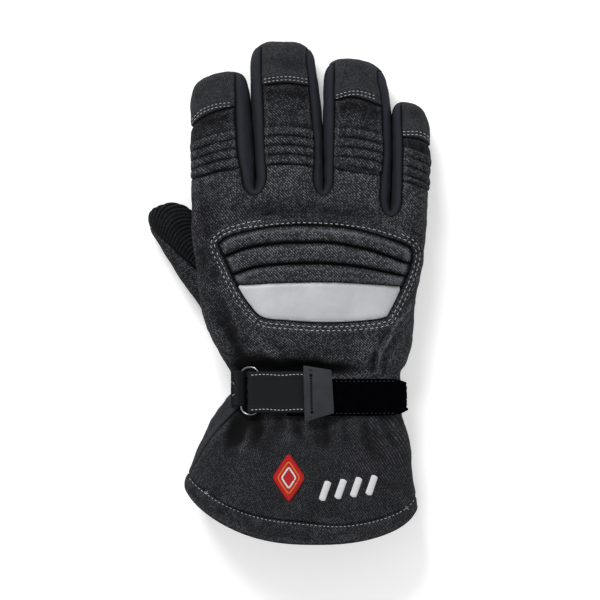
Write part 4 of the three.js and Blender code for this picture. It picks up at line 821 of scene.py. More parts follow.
BESIDE_HAND, FAR_SIDE, PALM_COLUMNS = 85, 100, 132
palm_outline = [(-BESIDE_HAND, WRIST_SEAM - 5), (-BESIDE_HAND, tip_line("index", -BESIDE_HAND))]
for crotch in CROTCHES:
    edges = strip_outline(crotch, FAR_SIDE, GAP / 2)
    palm_outline.append((edges[0][0], tip_line(crotch[0], edges[0][0])))
    palm_outline.extend(edges[1:-1])
    palm_outline.append((edges[-1][0], tip_line(crotch[1], edges[-1][0])))
palm_outline += [(BESIDE_HAND, tip_line("pinky", BESIDE_HAND)), (BESIDE_HAND, WRIST_SEAM - 5)]
palm_places = np.concatenate([np.linspace(hand_low, 40, 76), np.linspace(41.1, 141, 90)])
palm_right, palm_left = LEFT_SEAM + SEAM_HALF, 360 + RIGHT_SEAM - SEAM_HALF
place, angle = hand_grid(
    [lambda x, y=y: y + 0 * x for y in palm_places], palm_right, palm_left,
    even_parts(EVEN_AT, palm_right, palm_left, PALM_COLUMNS))
keep = fitted(place, angle, all_cells(place), np.array(palm_outline), under=True, hole=False)
add_wall("palm_panel", place, angle, palm_point, UNDER, ["palm"], keep=keep,
         lift=lambda p, d: (rippled(p, (0.25, 24, 5), (0.1, 8, 6)) - 0.2) * smoothstep(d, 0.5, 6))

# Backs of the fingers, each with four padded ribs over its joint, and the fingertip caps over their ends.
# The caps are of a finer twill. Two rows of stitches hold each cap's edge, and press it in.
TIP = cloth("tip_twill", (0.0165, 0.0172, 0.0198), (0.078, 0.080, 0.090), zoom=1.6, worn=(0.8, 1.1))
CAP_PROUD, CAP_ROWS, CAP_BAND, RIBS = 0.7, (1.7, 3.5), 26, 4


def digit_point(digit, at, angle, flat=True):
    at, angle = np.broadcast_arrays(np.asarray(at, float), np.asarray(angle, float))
    cx, half, rounded, top, mid, _, _ = digit_section(digit, at)
    rise = power(np.sin(angle), 2 / SQUARENESS) * rounded
    x = cx + half * power(np.cos(angle), 2 / SQUARENESS)
    z = mid + rise * np.where(rise > 0, top - mid, mid + SUNK)
    lean = digit["slant"] * smoothstep(at, digit["dome"] - 15, digit["dome"] + 2)
    return np.stack([x, at + lean * (x - cx), np.maximum(z, 0) if flat else z], axis=-1)


def angle_at(cx, half, x, least=8):
    """Angle round a digit's section of the point with a given x, on the upper side."""
    share = np.clip((x - cx) / np.maximum(half, 0.01), -1, 1)
    angle = np.arccos(power(share, SQUARENESS / 2))
    return np.clip(angle, math.radians(least), math.pi - math.radians(least))


def back_angles(digit, at, margin):
    """Angles of the two seams of a finger's back, moved in by a margin."""
    cx, half, _, top, mid, seam_left, seam_right = digit_section(digit, at)
    turn = margin / np.maximum(4, (half + top - mid) / 2)
    right, left = [math.radians(digit[key]) + 0 * at for key in ("back_from", "back_to")]
    if digit["back_from"] >= 0:
        right = angle_at(cx, half, seam_right)
    if digit["back_to"] <= 180:
        left = angle_at(cx, half, seam_left)
    return right + turn, left - turn


def rib_height(digit, x, y):
    cx = digit_section(digit, np.minimum(y, digit["dome"]))[0]
    first, last, bow, tilt = digit["ribs"]
    line = y + bow * (x - cx) ** 2 - tilt * (x - cx)
    share = (line - first) / (last - first) * RIBS
    rib = quarter_round(np.abs(2 * (share % 1) - 1)) ** 0.8
    return np.where((share > 0) & (share < RIBS), 1.6 * rib - 0.35, 0)


for number, name in enumerate(ORDER):
    digit = FINGERS[name]
    across = np.linspace(0, 1, 50 if name == "index" else 42)
    shares = np.linspace(0, 1, 80)[:, None]
    place = lerp(70, 100, shares) + 0 * across
    for _ in range(6):
        right, left = back_angles(digit, place, 0.8 * GAP)
        angle = lerp(right, left, across)
        x = digit_point(digit, place, angle)[..., 0]
        place = lerp(curve(BACK_SEAM, x) + GAP / 6, curve(digit["cap"], x) - GAP / 2, shares)
    surface = lambda a, b, flat=True, digit=digit: digit_point(digit, a, b, flat)

    def finger_lift(p, distance, digit=digit, number=number):
        soft = rippled(p, (0.35, 20, 10 + number), (0.12, 6, 20 + number))
        edge = smoothstep(distance, 0.2, 3)
        knuckle = 0.5 * np.exp(-((p[:, 1] - curve(BACK_SEAM, p[:, 0])) / 0.9) ** 2)
        facing_up = 0.3 + 0.7 * smoothstep(p[:, 2], 19, 27)
        ribs = rib_height(digit, p[:, 0], p[:, 1]) * smoothstep(distance, 0, 1.6) * facing_up
        return (soft + 0.5) * edge - knuckle + ribs

    def shade_under_cap(p, digit=digit):
        """Painted shade on the cloth just below the cap's edge."""
        return -1.6 * (1 - smoothstep(curve(digit["cap"], p[:, 0]) - p[:, 1], 4, 12))

    add_wall(f"{name}_finger_back", place, angle, surface, SHELL, [f"{name}_back"], lift=finger_lift,
             depth=0.9, reach=1.8, rolled=marked(place, 0, rest=True), valley_shade=shade_under_cap, panel_tone=0.63,
             contrast=1.0)

    start = cap_start(name) + GAP / 2
    upper, lower = (50, 50) if name in ("index", "pinky") else (40, 60)
    shares = np.linspace(0, 1, CAP_BAND)[:, None]
    place = start + np.zeros((CAP_BAND, upper + lower - 1))
    for _ in range(6):
        right, left = back_angles(digit, place, GAP / 2)
        order = np.concatenate([np.linspace(0, 1, upper), np.linspace(0, 1, lower + 1)[1:-1]])
        is_top = np.arange(upper + lower - 1) < upper
        angle = np.where(is_top, lerp(right, left, order), lerp(left, right + 2 * math.pi, order))
        x = digit_point(digit, place, angle)[..., 0]
        place = lerp(curve(digit["cap"], x) + GAP / 2, start, shares)
    beyond = np.linspace(digit["closes"], 0, 18)[1:, None]
    far = np.maximum(start + 0.2, dome_at(digit, beyond)) + np.zeros((1, upper + lower - 1))
    place = np.concatenate([place, far])
    angle = np.concatenate([angle, np.repeat(angle[-1:], len(far), axis=0)])
    keep = all_cells(place, ring=True)
    keep[:CAP_BAND - 1, upper - 1:] = False

    def cap_lift(p, distance, digit=digit, number=number):
        off = p[:, 1] - curve(digit["cap"], p[:, 0])
        rows = sum(-0.4 * np.exp(-((off - row) / 0.5) ** 2) for row in CAP_ROWS)
        soft = rippled(p, (0.3, 16, 30 + number), (0.08, 5, 40 + number))
        proud = CAP_PROUD * (1 - smoothstep(off, 5, 14))
        return proud + (soft + 0.3) * smoothstep(distance, 0.5, 5) + rows * (p[:, 2] > 12)

    end = (place > digit["tip"] - 0.05, (0, 1, 0))
    sides = marked(place, 0, np.s_[:CAP_BAND, [0, upper - 1]])
    add_wall(f"{name}_tip", place, angle, surface, TIP, [f"{name}_cap"], lift=cap_lift, keep=keep,
             ring=True, depth=0.9, reach=1.7, tip=end, rolled=sides, panel_tone=0.84)

# Strips of smooth stretch cloth between the fingers, sewn to their backs and to the palm.
# Each runs down the side of one finger, round the crotch, and up the side of the next.
STRETCH = cloth("stretch_knit", (0.0160, 0.0180, 0.0240), (0.0225, 0.0248, 0.0320), zoom=2.6, bump=0.25,
                roughness=0.8)
ROUND_COLUMNS, STRIP_COLUMNS = 26, 26


def strip_point(crotch, turn, across):
    """turn: 0 to 1 down one finger, 1 to 2 round, 2 to 3 up the other. across: 0 at the upper seam."""
    first, second, middle, at_seam, at_touch = crotch

    def on(name, at, mirrored):
        cx, half, _, _, _, seam_left, seam_right = digit_section(FINGERS[name], at)
        seam = math.pi - angle_at(cx, half, seam_left) if mirrored else angle_at(cx, half, seam_right)
        angle = lerp(seam, -seam, across)
        return digit_point(FINGERS[name], at, math.pi - angle if mirrored else angle)

    first_end, second_end = cap_start(first) - GAP / 2, cap_start(second) - GAP / 2
    down = on(first, lerp(first_end, middle, np.clip(turn, 0, 1)), False)
    up = on(second, lerp(middle, second_end, np.clip(turn - 2, 0, 1)), True)
    round_ = np.clip(turn - 1, 0, 1) * math.pi
    share = (1 - np.cos(round_))[..., None] / 2
    deep = lerp(at_touch, at_seam, np.abs(2 * across - 1) ** 1.5)
    bend = lerp(down, up, share)
    bend[..., 1] = middle - deep * np.sin(round_)
    part = turn[..., None]
    return np.where(part <= 1, down, np.where(part >= 2, up, bend))


for number, crotch in enumerate(CROTCHES):
    lengths = [cap_start(crotch[0]) - crotch[2], ROUND_COLUMNS, cap_start(crotch[1]) - crotch[2]]
    steps = [k + np.linspace(0, 1, max(12, int(n)) + 1)[:-1] for k, n in enumerate(lengths)]
    turn, across = np.meshgrid(np.concatenate(steps + [[3]]), np.linspace(0, 1, STRIP_COLUMNS), indexing="ij")
    ends = strip_point(crotch, turn[:, :1], across[:, :1]), strip_point(crotch, turn[:, -1:], across[:, -1:])
    margin = GAP / 2 / np.linalg.norm(ends[0] - ends[1], axis=-1)
    across = lerp(margin, 1 - margin, across)
    surface = lambda a, b, flat=True, crotch=crotch: strip_point(crotch, a, np.clip(b, 0, 1))

    def room_beside(p, crotch=crotch):
        """Distance to the line where the cloth of two fingers meets."""
        first, second = [digit_section(FINGERS[name], p[:, 1]) for name in crotch[:2]]
        return np.abs(p[:, 0] - (first[0] + first[1] + second[0] - second[1]) / 2)

    def strip_lift(p, distance, crotch=crotch, number=number, room_beside=room_beside):
        """The stretch cloth puffs out, until it meets that of the next finger."""
        puff = smoothstep(p[:, 2], 12, 21) * smoothstep(distance, 0.4, 3.2)
        soft = (0.12 * ripples(p, 9, 50 + number) - 0.1) * smoothstep(distance, 0.5, 4)
        return np.minimum(puff + soft, np.where(p[:, 1] > crotch[2], room_beside(p) + 0.08, 9))

    # Painted shade where the stretch cloth of two fingers meets.
    def shade_where_they_meet(p, crotch=crotch, room_beside=room_beside):
        return -4.5 * (1 - smoothstep(room_beside(p), 0.5, 1.6)) * (p[:, 1] > crotch[2] - 1)

    add_wall(f"{crotch[0]}_{crotch[1]}_strip", turn, across, surface, STRETCH,
             [f"side_strip_{crotch[0]}_{crotch[1]}"], wall=2.0, lift=strip_lift, depth=0.7, reach=1.5,
             rolled=marked(turn, np.s_[:, [0, -1]]), valley_shade=shade_where_they_meet)

# Thumb, under the left edge of the hand: a woven back, and a ribbed grip that wraps the side and the tip.
# Both run up into the hand's underside, where they are sewn in.
GRIP = cloth("grip_rib", (0.0036, 0.0039, 0.0046), (0.034, 0.036, 0.041), zoom=2.2, worn=(0.7, 1.0),
             roughness=0.85)
THUMB = dict(
    rows=[
        (-14, -43, -12, 0, 0, 23, 12), (5, -45.4, -14, 0, 0, 22, 11), (20, -46.8, -15.8, 0, 0, 21, 10.5),
        (40, -48.0, -18.2, 0, 0, 20, 10), (55, -48.0, -19.6, 0, 0, 19.5, 9.6),
        (64, -48.0, -20.4, 0, 0, 19, 9.5), (70, -48.0, -21.0, 0, 0, 19, 9.5),
    ],
    dome=61, tip=80, dullness=2.5, slant=-0.3,
    seam=[(-14, 84), (5, 88), (20, 92), (40, 104), (55, 124), (64, 146), (70, 165)],
)
THUMB_ALONG = (-0.53, 0.848)
THUMB_ACROSS = (0.848, 0.53)
THUMB_ROOT, THUMB_BACK_END = -12, 69
THUMB_BACK_TO = 235
BACK_COLUMNS, GRIP_COLUMNS, SEAM_TURN = 33, 117, GAP / 24
RIB_BEND, RIB_MIDDLE, RIB_PITCH, RIB_HEIGHT = 0.055, -33, 2.35, 1.3


def thumb_point(at, angle, flat=True):
    local = digit_point(THUMB, at, angle, flat)
    x = local[..., 1] * THUMB_ALONG[0] + local[..., 0] * THUMB_ACROSS[0]
    y = local[..., 1] * THUMB_ALONG[1] + local[..., 0] * THUMB_ACROSS[1]
    return np.stack([x, y, local[..., 2]], axis=-1)


def thumb_seams(at):
    """Angles of the two seams between the thumb's back and its grip."""
    start = np.radians(curve(THUMB["seam"], np.minimum(at, THUMB_BACK_END)))
    return start, math.radians(THUMB_BACK_TO) + 0 * at


def outside_hand(p):
    """Which points are clear of the hand, or not far into its cloth."""
    x, y, z = p[..., 0], p[..., 1], p[..., 2]
    left, right, _, left_mid, _, _, _ = columns(BODY, y)
    centre, half = (left + right) / 2, (right - left) / 2
    low = np.clip((left_mid - z) / (left_mid + SUNK), 0, 1)
    edge = centre - half * arch(low)
    return (x < edge + 1.0) | (z < hand_under(x, y) + 1.0)


def thumb_cells(place, angle, ring):
    clear = outside_hand(thumb_point(place, angle))
    if ring:
        clear = np.concatenate([clear, clear[:, :1]], axis=1)
    return clear[:-1, :-1] | clear[1:, :-1] | clear[:-1, 1:] | clear[1:, 1:]


across = np.linspace(0, 1, 40)
place = np.linspace(THUMB_ROOT, THUMB_BACK_END - GAP, 90)[:, None] + 0.0 * across
start, stop = thumb_seams(place)
angle = lerp(start + SEAM_TURN, stop - SEAM_TURN, across)
add_wall("thumb_back_panel", place, angle, thumb_point, SHELL, ["thumb_back"],
         keep=thumb_cells(place, angle, False), depth=0.8, reach=2, rolled=marked(place, np.s_[:, [0, -1]]),
         panel_tone=0.6,
         lift=lambda p, d: (rippled(p, (0.3, 18, 61), (0.08, 5, 62)) + 0.2) * smoothstep(d, 0.3, 5))

tube = np.concatenate([np.linspace(THUMB_ROOT, 28, 18), np.linspace(28.5, THUMB_BACK_END, 90)])
tips = dome_at(THUMB, np.concatenate([np.linspace(0.945, 0.58, 22), np.linspace(0.56, 0, 18)]))
order = np.arange(BACK_COLUMNS + GRIP_COLUMNS)
place = np.concatenate([tube, tips])[:, None] + 0.0 * order
start, stop = thumb_seams(place)
back_share = np.clip(order / BACK_COLUMNS, 0, 1)
grip_share = 1 - (1 - np.clip((order - BACK_COLUMNS) / GRIP_COLUMNS, 0, 1)) ** 1.5
angle = np.where(order <= BACK_COLUMNS, lerp(start - SEAM_TURN, stop + SEAM_TURN, back_share),
                 lerp(stop + SEAM_TURN, start - SEAM_TURN + 2 * math.pi, grip_share))
keep = thumb_cells(place, angle, True)
keep[:len(tube) - 1, :BACK_COLUMNS] = False


def grip_lift(p, distance):
    """Ribs that arch across the thumb, and fade out at its left edge."""
    along, across = p[:, :2] @ np.array(THUMB_ALONG), p[:, :2] @ np.array(THUMB_ACROSS)
    share = ((along + RIB_BEND * (across - RIB_MIDDLE) ** 2) / RIB_PITCH) % 1
    facing_up = (0.3 + 0.7 * smoothstep(p[:, 2], 9, 14)) * smoothstep(across, -46, -40)
    rib = (RIB_HEIGHT * quarter_round(np.abs(2 * share - 1)) - 0.8) * facing_up
    return rib * smoothstep(distance, 0.3, 2.0) + 0.15 * ripples(p, 14, 63) * smoothstep(distance, 0.5, 4)


add_wall("thumb_grip_panel", place, angle, thumb_point, GRIP, ["thumb_grip"], keep=keep, ring=True,
         lift=grip_lift, depth=0.7, reach=1.6, tip=(place > THUMB["tip"] - 0.05, (*THUMB_ALONG, 0)),
         rolled=marked(place, np.s_[:len(tube) - 1, [0, BACK_COLUMNS]]), contrast=2.4, panel_tone=0.68)

# Cuff: a twill back, a woven underside that comes up round its left side, and the turned hem.
# The strap draws the cloth in at the wrist, so folds run down from it.
CUFF = cloth("cuff_twill", (0.0150, 0.0155, 0.0178), (0.104, 0.107, 0.120), zoom=1.22, worn=(0.8, 1.1))
CUFF_SEAM = [(-131, 178), (-100, 167), (-88, 159), (-78, 152), (-66, 140), (-55, 130)]
HEM_LOW, HEM_LOW_X = -139.5, 14.5
HEM_WIDE = [(-62, 11.2), (-46, 12.2), (0, 12.8), (26, 10.9), (52, 10.2), (74, 9.6)]
HEM_ROW, HEM_ROW_ENDS_AT = 1.0, 21
CUFF_EVEN_AT = -100


def hem_y(x):
    """Place of the hem along Y at x: it hangs lowest right of the middle and rises to the corners."""
    left, right = columns(BODY, np.array(-120.0))[:2]
    corner = np.abs((x - (left + right) / 2) / ((right - left) / 2)) ** 16
    return HEM_LOW + 5.7e-4 * np.abs(x - HEM_LOW_X) ** 2.5 + 4 * np.minimum(1, corner)


cuff_seam = lambda y: curve(CUFF_SEAM, y)
cuff_top = WRIST_SEAM - GAP / 2
hem_top = lambda x: hem_y(x) + curve(HEM_WIDE, x)
cuff_rows = [lambda x, t=t: lerp(hem_top(x) + GAP / 6, cuff_top, t) for t in np.linspace(0, 1, 76)]


def cuff_lift(p, distance):
    upper = smoothstep(p[:, 2], 18, 26)
    crease = fold_height(CREASES, p[:, 0], p[:, 1]) * upper
    drawn = smoothstep(p[:, 1], -100, -66)
    gathers = drawn * (0.5 * ripples(p * (1, 0.25, 1), 13, 71) + 0.2 * ripples(p * (1, 0.3, 1), 6, 72))
    uneven = rippled(p, (0.6, 40, 73), (0.15, 12, 74), (0.05, 4, 75))
    pucker = 0.12 * ripples(p, 3.6, 76) * np.exp(-distance / 2)
    to_hem = -0.45 * np.exp(-((p[:, 1] - hem_top(p[:, 0])) / 0.9) ** 2)
    return (crease + gathers + uneven) * smoothstep(distance, 0.5, 6) + pucker + to_hem


place, angle = hand_grid(
    cuff_rows, back_right, lambda y: cuff_seam(y) - SEAM_HALF, even_parts(CUFF_EVEN_AT, back_right, 166, 158))
add_wall("cuff_back_panel", place, angle, hand_point, CUFF, ["cuff_back"], lift=cuff_lift, panel_tone=0.61,
         rolled=marked(place, 0, rest=True),
         valley_shade=lambda p: fold_height(FOLDS, p[:, 0], p[:, 1]) * smoothstep(p[:, 2], 18, 26))
place, angle = hand_grid(
    cuff_rows, lambda y: cuff_seam(y) + SEAM_HALF, palm_left, even_parts(CUFF_EVEN_AT, 168, palm_left, 132))
add_wall("cuff_under_panel", place, angle, hand_point, UNDER, ["cuff_under"], lift=cuff_lift)

across = even_parts(-125, 0, 360, 281)[:-1]
hem_shares = np.concatenate([[0, 0.024, 0.058], np.linspace(0.105, 0.995, 15)])
place, angle = hand_grid(
    [lambda x, share=share: lerp(hem_y(x), hem_top(x), share) for share in hem_shares], 0, 360, across)


def hem_lift(p, distance):
    down = hem_top(p[:, 0]) - p[:, 1]
    row = -0.4 * np.exp(-((down - HEM_ROW) / 0.6) ** 2)
    puckers = 0.1 * ripples(p, 4, 83) * smoothstep(down, 0, 3)
    soft = rippled(p, (0.45, 30, 81), (0.15, 9, 82)) + puckers
    return 0.3 * smoothstep(down, 0, 1.5) + row + soft * smoothstep(distance, 0.3, 3)


add_wall("cuff_hem", place, angle, hand_point, CUFF, ["hem_band"], ring=True, wall=2.6,
         lift=hem_lift, depth=1.1, reach=2.0, rolled=marked(place, 0), panel_tone=0.66)

# Knuckle pad in the window: three padded twill ridges with deep sewn channels, and a plain shelf below
# that carries the reflective strip.
GROOVES = [
    [(-42, 38), (0, 38.5), (30, 37), (69, 25)],
    [(-36, 19.6), (-23, 24.6), (0, 27.5), (19, 27.7), (40, 24.4), (65, 16.2)],
    [(-32, 9.6), (-17.5, 14.2), (0, 15.8), (15, 16.2), (32, 15), (65, 8.8)],
    [(-30, 3.6), (0, 5.1), (23, 5.3), (48, 4), (62, 3)],
]
PAD_RECESS, PAD_RIDGE, PAD_THICK, PAD_TONE = 1.5, 4.0, 2.2, 0.84


def grown(outline, distance):
    """A closed outline moved outwards by a distance."""
    along = np.roll(outline, -1, 0) - np.roll(outline, 1, 0)
    along = along / np.linalg.norm(along, axis=1, keepdims=True)
    x, y = outline.T
    side = np.sign(np.sum(x * np.roll(y, -1) - np.roll(x, -1) * y))
    return outline + side * distance * np.stack([along[:, 1], -along[:, 0]], axis=1)


def plan_sheet(name, outline, spacing, top, bottom, material, nodes, turn=0.0, relief=False):
    """A sheet over the upper side, between two height functions, cut to a closed outline in plan.
    turn: the angle of its weave in degrees."""
    low, high = outline.min(0) - 1.2 * spacing, outline.max(0) + 1.2 * spacing
    xs, ys = [np.arange(low[k], high[k] + spacing, spacing) for k in (0, 1)]
    y, x = np.meshgrid(ys, xs, indexing="ij")
    keep = inside(outline, centres(x), centres(y))
    border = border_of(keep, ~keep)
    x[border], y[border], _ = nearest(outline, x[border], y[border])
    shape = x.shape
    x, y = x.ravel(), y.ravel()
    _, _, edge = nearest(outline, x, y)
    upper, lower = np.stack([x, y, top(x, y, edge)], 1), np.stack([x, y, bottom(x, y, edge)], 1)
    c, s = math.cos(math.radians(turn)), math.sin(math.radians(turn))
    uv = np.stack([c * x - s * y, s * x + c * y], 1)
    # With relief, the sheet's grooves get painted shade and its ridges painted highlights, and a tone factor
    # darkens it all over.
    painted_relief_light = PAD_TONE * painted_relief_light_of(upper[:, 2] - lower[:, 2], shape, edge) if relief else np.ones(len(x))
    cells = cells_of(keep, False)[:, ::-1]
    return add_sheet(name, upper, lower, cells, uv, material, nodes, np.concatenate([painted_relief_light, painted_relief_light]))


def pad_top(x, y, edge):
    lines = [curve(groove, x) for groove in GROOVES]
    ridge = np.zeros(len(x))
    for upper, lower in zip(lines, lines[1:]):
        share = np.clip((y - lower) / (upper - lower), 0, 1)
        here = (y <= upper) & (y > lower)
        bow = np.minimum(1.09 * np.abs(2 * share - 1), 1)
        ridge = np.where(here, PAD_RIDGE * quarter_round(bow) ** 0.85, ridge)
    p = np.stack([x, y, 0 * x], 1)
    soft = rippled(p, (0.25, 17, 91), (0.1, 5, 92))
    held = smoothstep(edge, -1.5, 2.8)
    return hand_top(x, y) - PAD_RECESS + (ridge + soft * np.minimum(1, ridge)) * held


knuckle_pad = plan_sheet(
    "knuckle_ridges", grown(WINDOW, -GAP), 0.62, pad_top,
    lambda x, y, edge: hand_top(x, y) - PAD_RECESS - PAD_THICK,
    SHELL, ["knuckle_pad"], turn=90, relief=True)

# Reflective strip along the bottom of the window: a smooth silver film with fine glass beads in it.
# It lies on the pad's shelf, slightly uneven, and is sewn in at its edges.
FILM, tree, shader = new_material("silver_film", {"Specular IOR Level": 0.5})
film_place = object_place(tree)
clouds = noise(tree, film_place, 45.0, 4.0)
beads = noise(tree, film_place, 2500.0, 1.0)
tone = maths(tree, "ADD", maths(tree, "MULTIPLY", clouds, 0.75), maths(tree, "MULTIPLY", beads, 0.25))
film_colour = mixed(tree, ramp(tree, tone, 0.3, 0.7), (0.345, 0.35, 0.366), (0.455, 0.46, 0.476))
dressed(tree, shader, film_colour, beads, 0.25, 0.0001)
tree.links.new(ramp(tree, clouds, 0.3, 0.7, 0.38, 0.52), shader.inputs["Roughness"])
FILM_RISE, FILM_THICK = 1.4, 0.9
film_edge = [(float(x), float(curve(GROOVES[3], x)) + 0.2) for x in np.linspace(-29.4, 62.3, 60)]
film_body = inside(grown(WINDOW, -GAP - 0.3), *np.array(film_edge).T)
film_low = [(x, y) for x, y in grown(WINDOW, -GAP - 0.3) if y < curve(GROOVES[3], x) - 0.6]
steps = [math.dist(film_low[i], film_low[i - 1]) for i in range(len(film_low))]
start_at = int(np.argmax(steps))
film_low = film_low[start_at:] + film_low[:start_at]
top_edge = [p for p, ok in zip(film_edge, film_body) if ok]
if (film_low[0][0] - top_edge[-1][0]) ** 2 > (film_low[-1][0] - top_edge[-1][0]) ** 2:
    film_low = film_low[::-1]


def film_top(x, y, edge):
    p = np.stack([x, y, 0 * x], 1)
    bulge = 0.5 * np.maximum(0, 1 - ((y + 6) / 11) ** 2)
    held = 0.6 * (1 - smoothstep(edge, 0, 2.2))
    wrinkles = 0.12 * np.exp(-((x - 0.8 - 0.06 * y) / 0.8) ** 2) + 0.16 * np.exp(-((x - 16 + 0.1 * y) ** 2))
    uneven = rippled(p, (0.12, 16, 93), (0.05, 7, 94)) - wrinkles * smoothstep(y, -16, -8)
    return hand_top(x, y) - PAD_RECESS + FILM_RISE + bulge - held + uneven


plan_sheet("silver_strip", np.array(top_edge + film_low), 0.8, film_top,
           lambda x, y, edge: film_top(x, y, edge) - FILM_THICK, FILM, ["reflective_strip"])

# Wrist strap: fuzzy loop tape round the right side, and a smooth strap that comes out from under the tab,
# turns round the ring and lies back on itself. All of it follows the wrist's section.
STRAP_Y, STRAP_WIDE = -55.3, 23
STRAP_THICK, STRAP_RISE, STRAP_HIGH, STRAP_HIGH_END = 1.3, 0.8, 4.8, 3.3
STRAP_HEM, STRAP_ROW = 7.6, 9.65
TAPE_Y, TAPE_WIDE = -58.2, 20.6
PILE_LOW, PILE_HIGH = 0.6, 2.8


def wrist_point(y, angle, rise):
    """A point at a height above the cloth of the wrist, straight out from its section."""
    out = normals(lambda p, q: hand_point(p, q, False), np.asarray(y, float), np.asarray(angle, float))
    out[..., 1] = 0
    out /= np.linalg.norm(out, axis=-1, keepdims=True)
    return hand_point(y, angle) + out * np.asarray(rise)[..., None]


def slab(name, outer, inner, material, slot, nodes, soft=0.6):
    """A strap between two grids of points, with its edges rounded off. Rows run along it, columns across."""
    middle, half = (outer + inner) / 2, (outer - inner) / 2
    wide, long = run_along(middle, 1), run_along(middle, 0)
    edge = np.minimum(np.minimum(wide, wide[:, -1:] - wide), np.minimum(long, long[-1:] - long))
    half = half * np.maximum(quarter_round(1 - edge / soft), 0.35)[..., None]
    outer, inner = (middle + half).reshape(-1, 3), (middle - half).reshape(-1, 3)
    cells = facing_out(cells_of(all_cells(middle), False), outer, outer - inner)
    uv = np.stack([wide, long], axis=-1).reshape(-1, 2)
    return add_sheet(name, outer, inner, cells, uv, material, nodes)


PILE = cloth("loop_pile", (0.0006, 0.0007, 0.0012), (0.0040, 0.0043, 0.0066), zoom=1.6, bump=1.0,
             roughness=1.0, worn=(0.4, 1.0), specular=0.0)
WEBBING = cloth("smooth_webbing", (0.0050, 0.0058, 0.0070), (0.0110, 0.0124, 0.0146), zoom=3.0, bump=0.2,
                roughness=0.75, worn=(0.5, 0.9), specular=0.12)
tape_span = [float(-hand_angle(TAPE_Y, 26)), float(hand_angle(TAPE_Y, 2.6))]
tape_across = np.linspace(-TAPE_WIDE / 2, TAPE_WIDE / 2, 42) + TAPE_Y
angle, y = np.meshgrid(np.linspace(*tape_span, 190), tape_across, indexing="ij")
y = TAPE_Y + (y - TAPE_Y) * (1 - 0.2 * np.exp(-(angle / 0.42) ** 2))
pile = hand_point(y, angle)
fuzz = rippled(pile, (0.28, 2.6, 95), (0.22, 1.5, 96), (0.2, 9, 97))
slab("loop_tape_pile", wrist_point(y, angle, PILE_HIGH + fuzz), wrist_point(y, angle, PILE_LOW + 0 * y),
     PILE, "pile", ["loop_tape"], soft=0.9)


def folded_strap(y, width, thick, rise, low_from, bend, high_to, high_rise, centre, radius, side):
    """A strap's outer and inner grids: along the wrist, round a bar, and back over itself."""
    low = np.linspace(low_from, bend, 60)
    outer, inner = [wrist_point(y, low, rise + 0 * low)], [wrist_point(y, low, rise + thick + 0 * low)]
    out = wrist_point(y, np.array(bend), 1.0) - wrist_point(y, np.array(bend), 0.0)
    along = np.array([side * out[2], 0, -side * out[0]])
    turn = np.linspace(0, math.pi, 18)[1:-1, None]
    for r, points in ((radius, outer), (radius - thick, inner)):
        points.append(centre - r * np.cos(turn) * out + r * np.sin(turn) * along)
    share = np.linspace(0, 1, 90)
    high = lerp(bend, high_to, share)
    outer.append(wrist_point(y, high, high_rise(share) + thick))
    inner.append(wrist_point(y, high, high_rise(share)))
    across = np.linspace(-width / 2, width / 2, 30)
    grids = [np.repeat(np.concatenate(parts)[:, None], 30, axis=1) for parts in (outer, inner)]
    for grid in grids:
        grid[..., 1] = y + across
    return grids


strap_bend = float(hand_angle(STRAP_Y, -19.6))
strap_middle = (STRAP_RISE + STRAP_HIGH + STRAP_THICK) / 2
strap_grids = folded_strap(
    STRAP_Y, STRAP_WIDE, STRAP_THICK, STRAP_RISE, float(hand_angle(STRAP_Y, 2)), strap_bend,
    float(hand_angle(STRAP_Y, 20.5)),
    lambda share: lerp(STRAP_HIGH, STRAP_HIGH_END, smoothstep(share, 0, 0.4)),
    wrist_point(STRAP_Y, np.array(strap_bend), strap_middle), strap_middle - STRAP_RISE, -1)
across = np.abs(strap_grids[0][..., 1] - STRAP_Y)
pressed = 0.3 * np.exp(-((across - STRAP_ROW) / 0.45) ** 2)
hemmed = 0.22 * smoothstep(across, STRAP_HEM, 8.3) - pressed
raised = strap_grids[0] - strap_grids[1]
raised /= np.linalg.norm(raised, axis=-1, keepdims=True)
slab("wrist_strap", strap_grids[0] + raised * hemmed[..., None], strap_grids[1], WEBBING, "webbing",
     ["strap_end"])

# Wire ring at the left end of the strap: one bright steel wire, bent to a rounded rectangle.
# A loop of smooth webbing holds it, and is sewn into the wrist's side.
LOOP_Y, LOOP_WIDE, LOOP_THICK, LOOP_LOW, LOOP_END, LOOP_RADIUS = -53.4, 19.6, 1.3, 1.0, 2.6, 2.45
RING_Y, RING_HALF, RING_WIRE, RING_CORNER, RING_RISE = -54.7, 13.1, 0.6, 4.4, 3.45
RING_X = (-25.2, -16.4)
ring_left, ring_right = [wrist_point(RING_Y, hand_angle(RING_Y, x), RING_RISE) for x in RING_X]
ring_half = np.linalg.norm(ring_right - ring_left) / 2
ring_across = (ring_right - ring_left) / (2 * ring_half)
ring_middle = (ring_left + ring_right) / 2
STEEL, tree, shader = new_material("bright_wire", {"Metallic": 1.0})
wire_noise = noise(tree, object_place(tree), 900.0, 3.0)
tree.links.new(mixed(tree, wire_noise, (0.17, 0.17, 0.175), (0.27, 0.27, 0.275)), shader.inputs["Base Color"])
tree.links.new(ramp(tree, wire_noise, 0.3, 0.7, 0.22, 0.38), shader.inputs["Roughness"])
bpy.ops.curve.primitive_bezier_circle_add(location=(0, 0, 0))
wire = bpy.context.object
wire.data.splines.clear()
spline = wire.data.splines.new("POLY")
wire_path = []
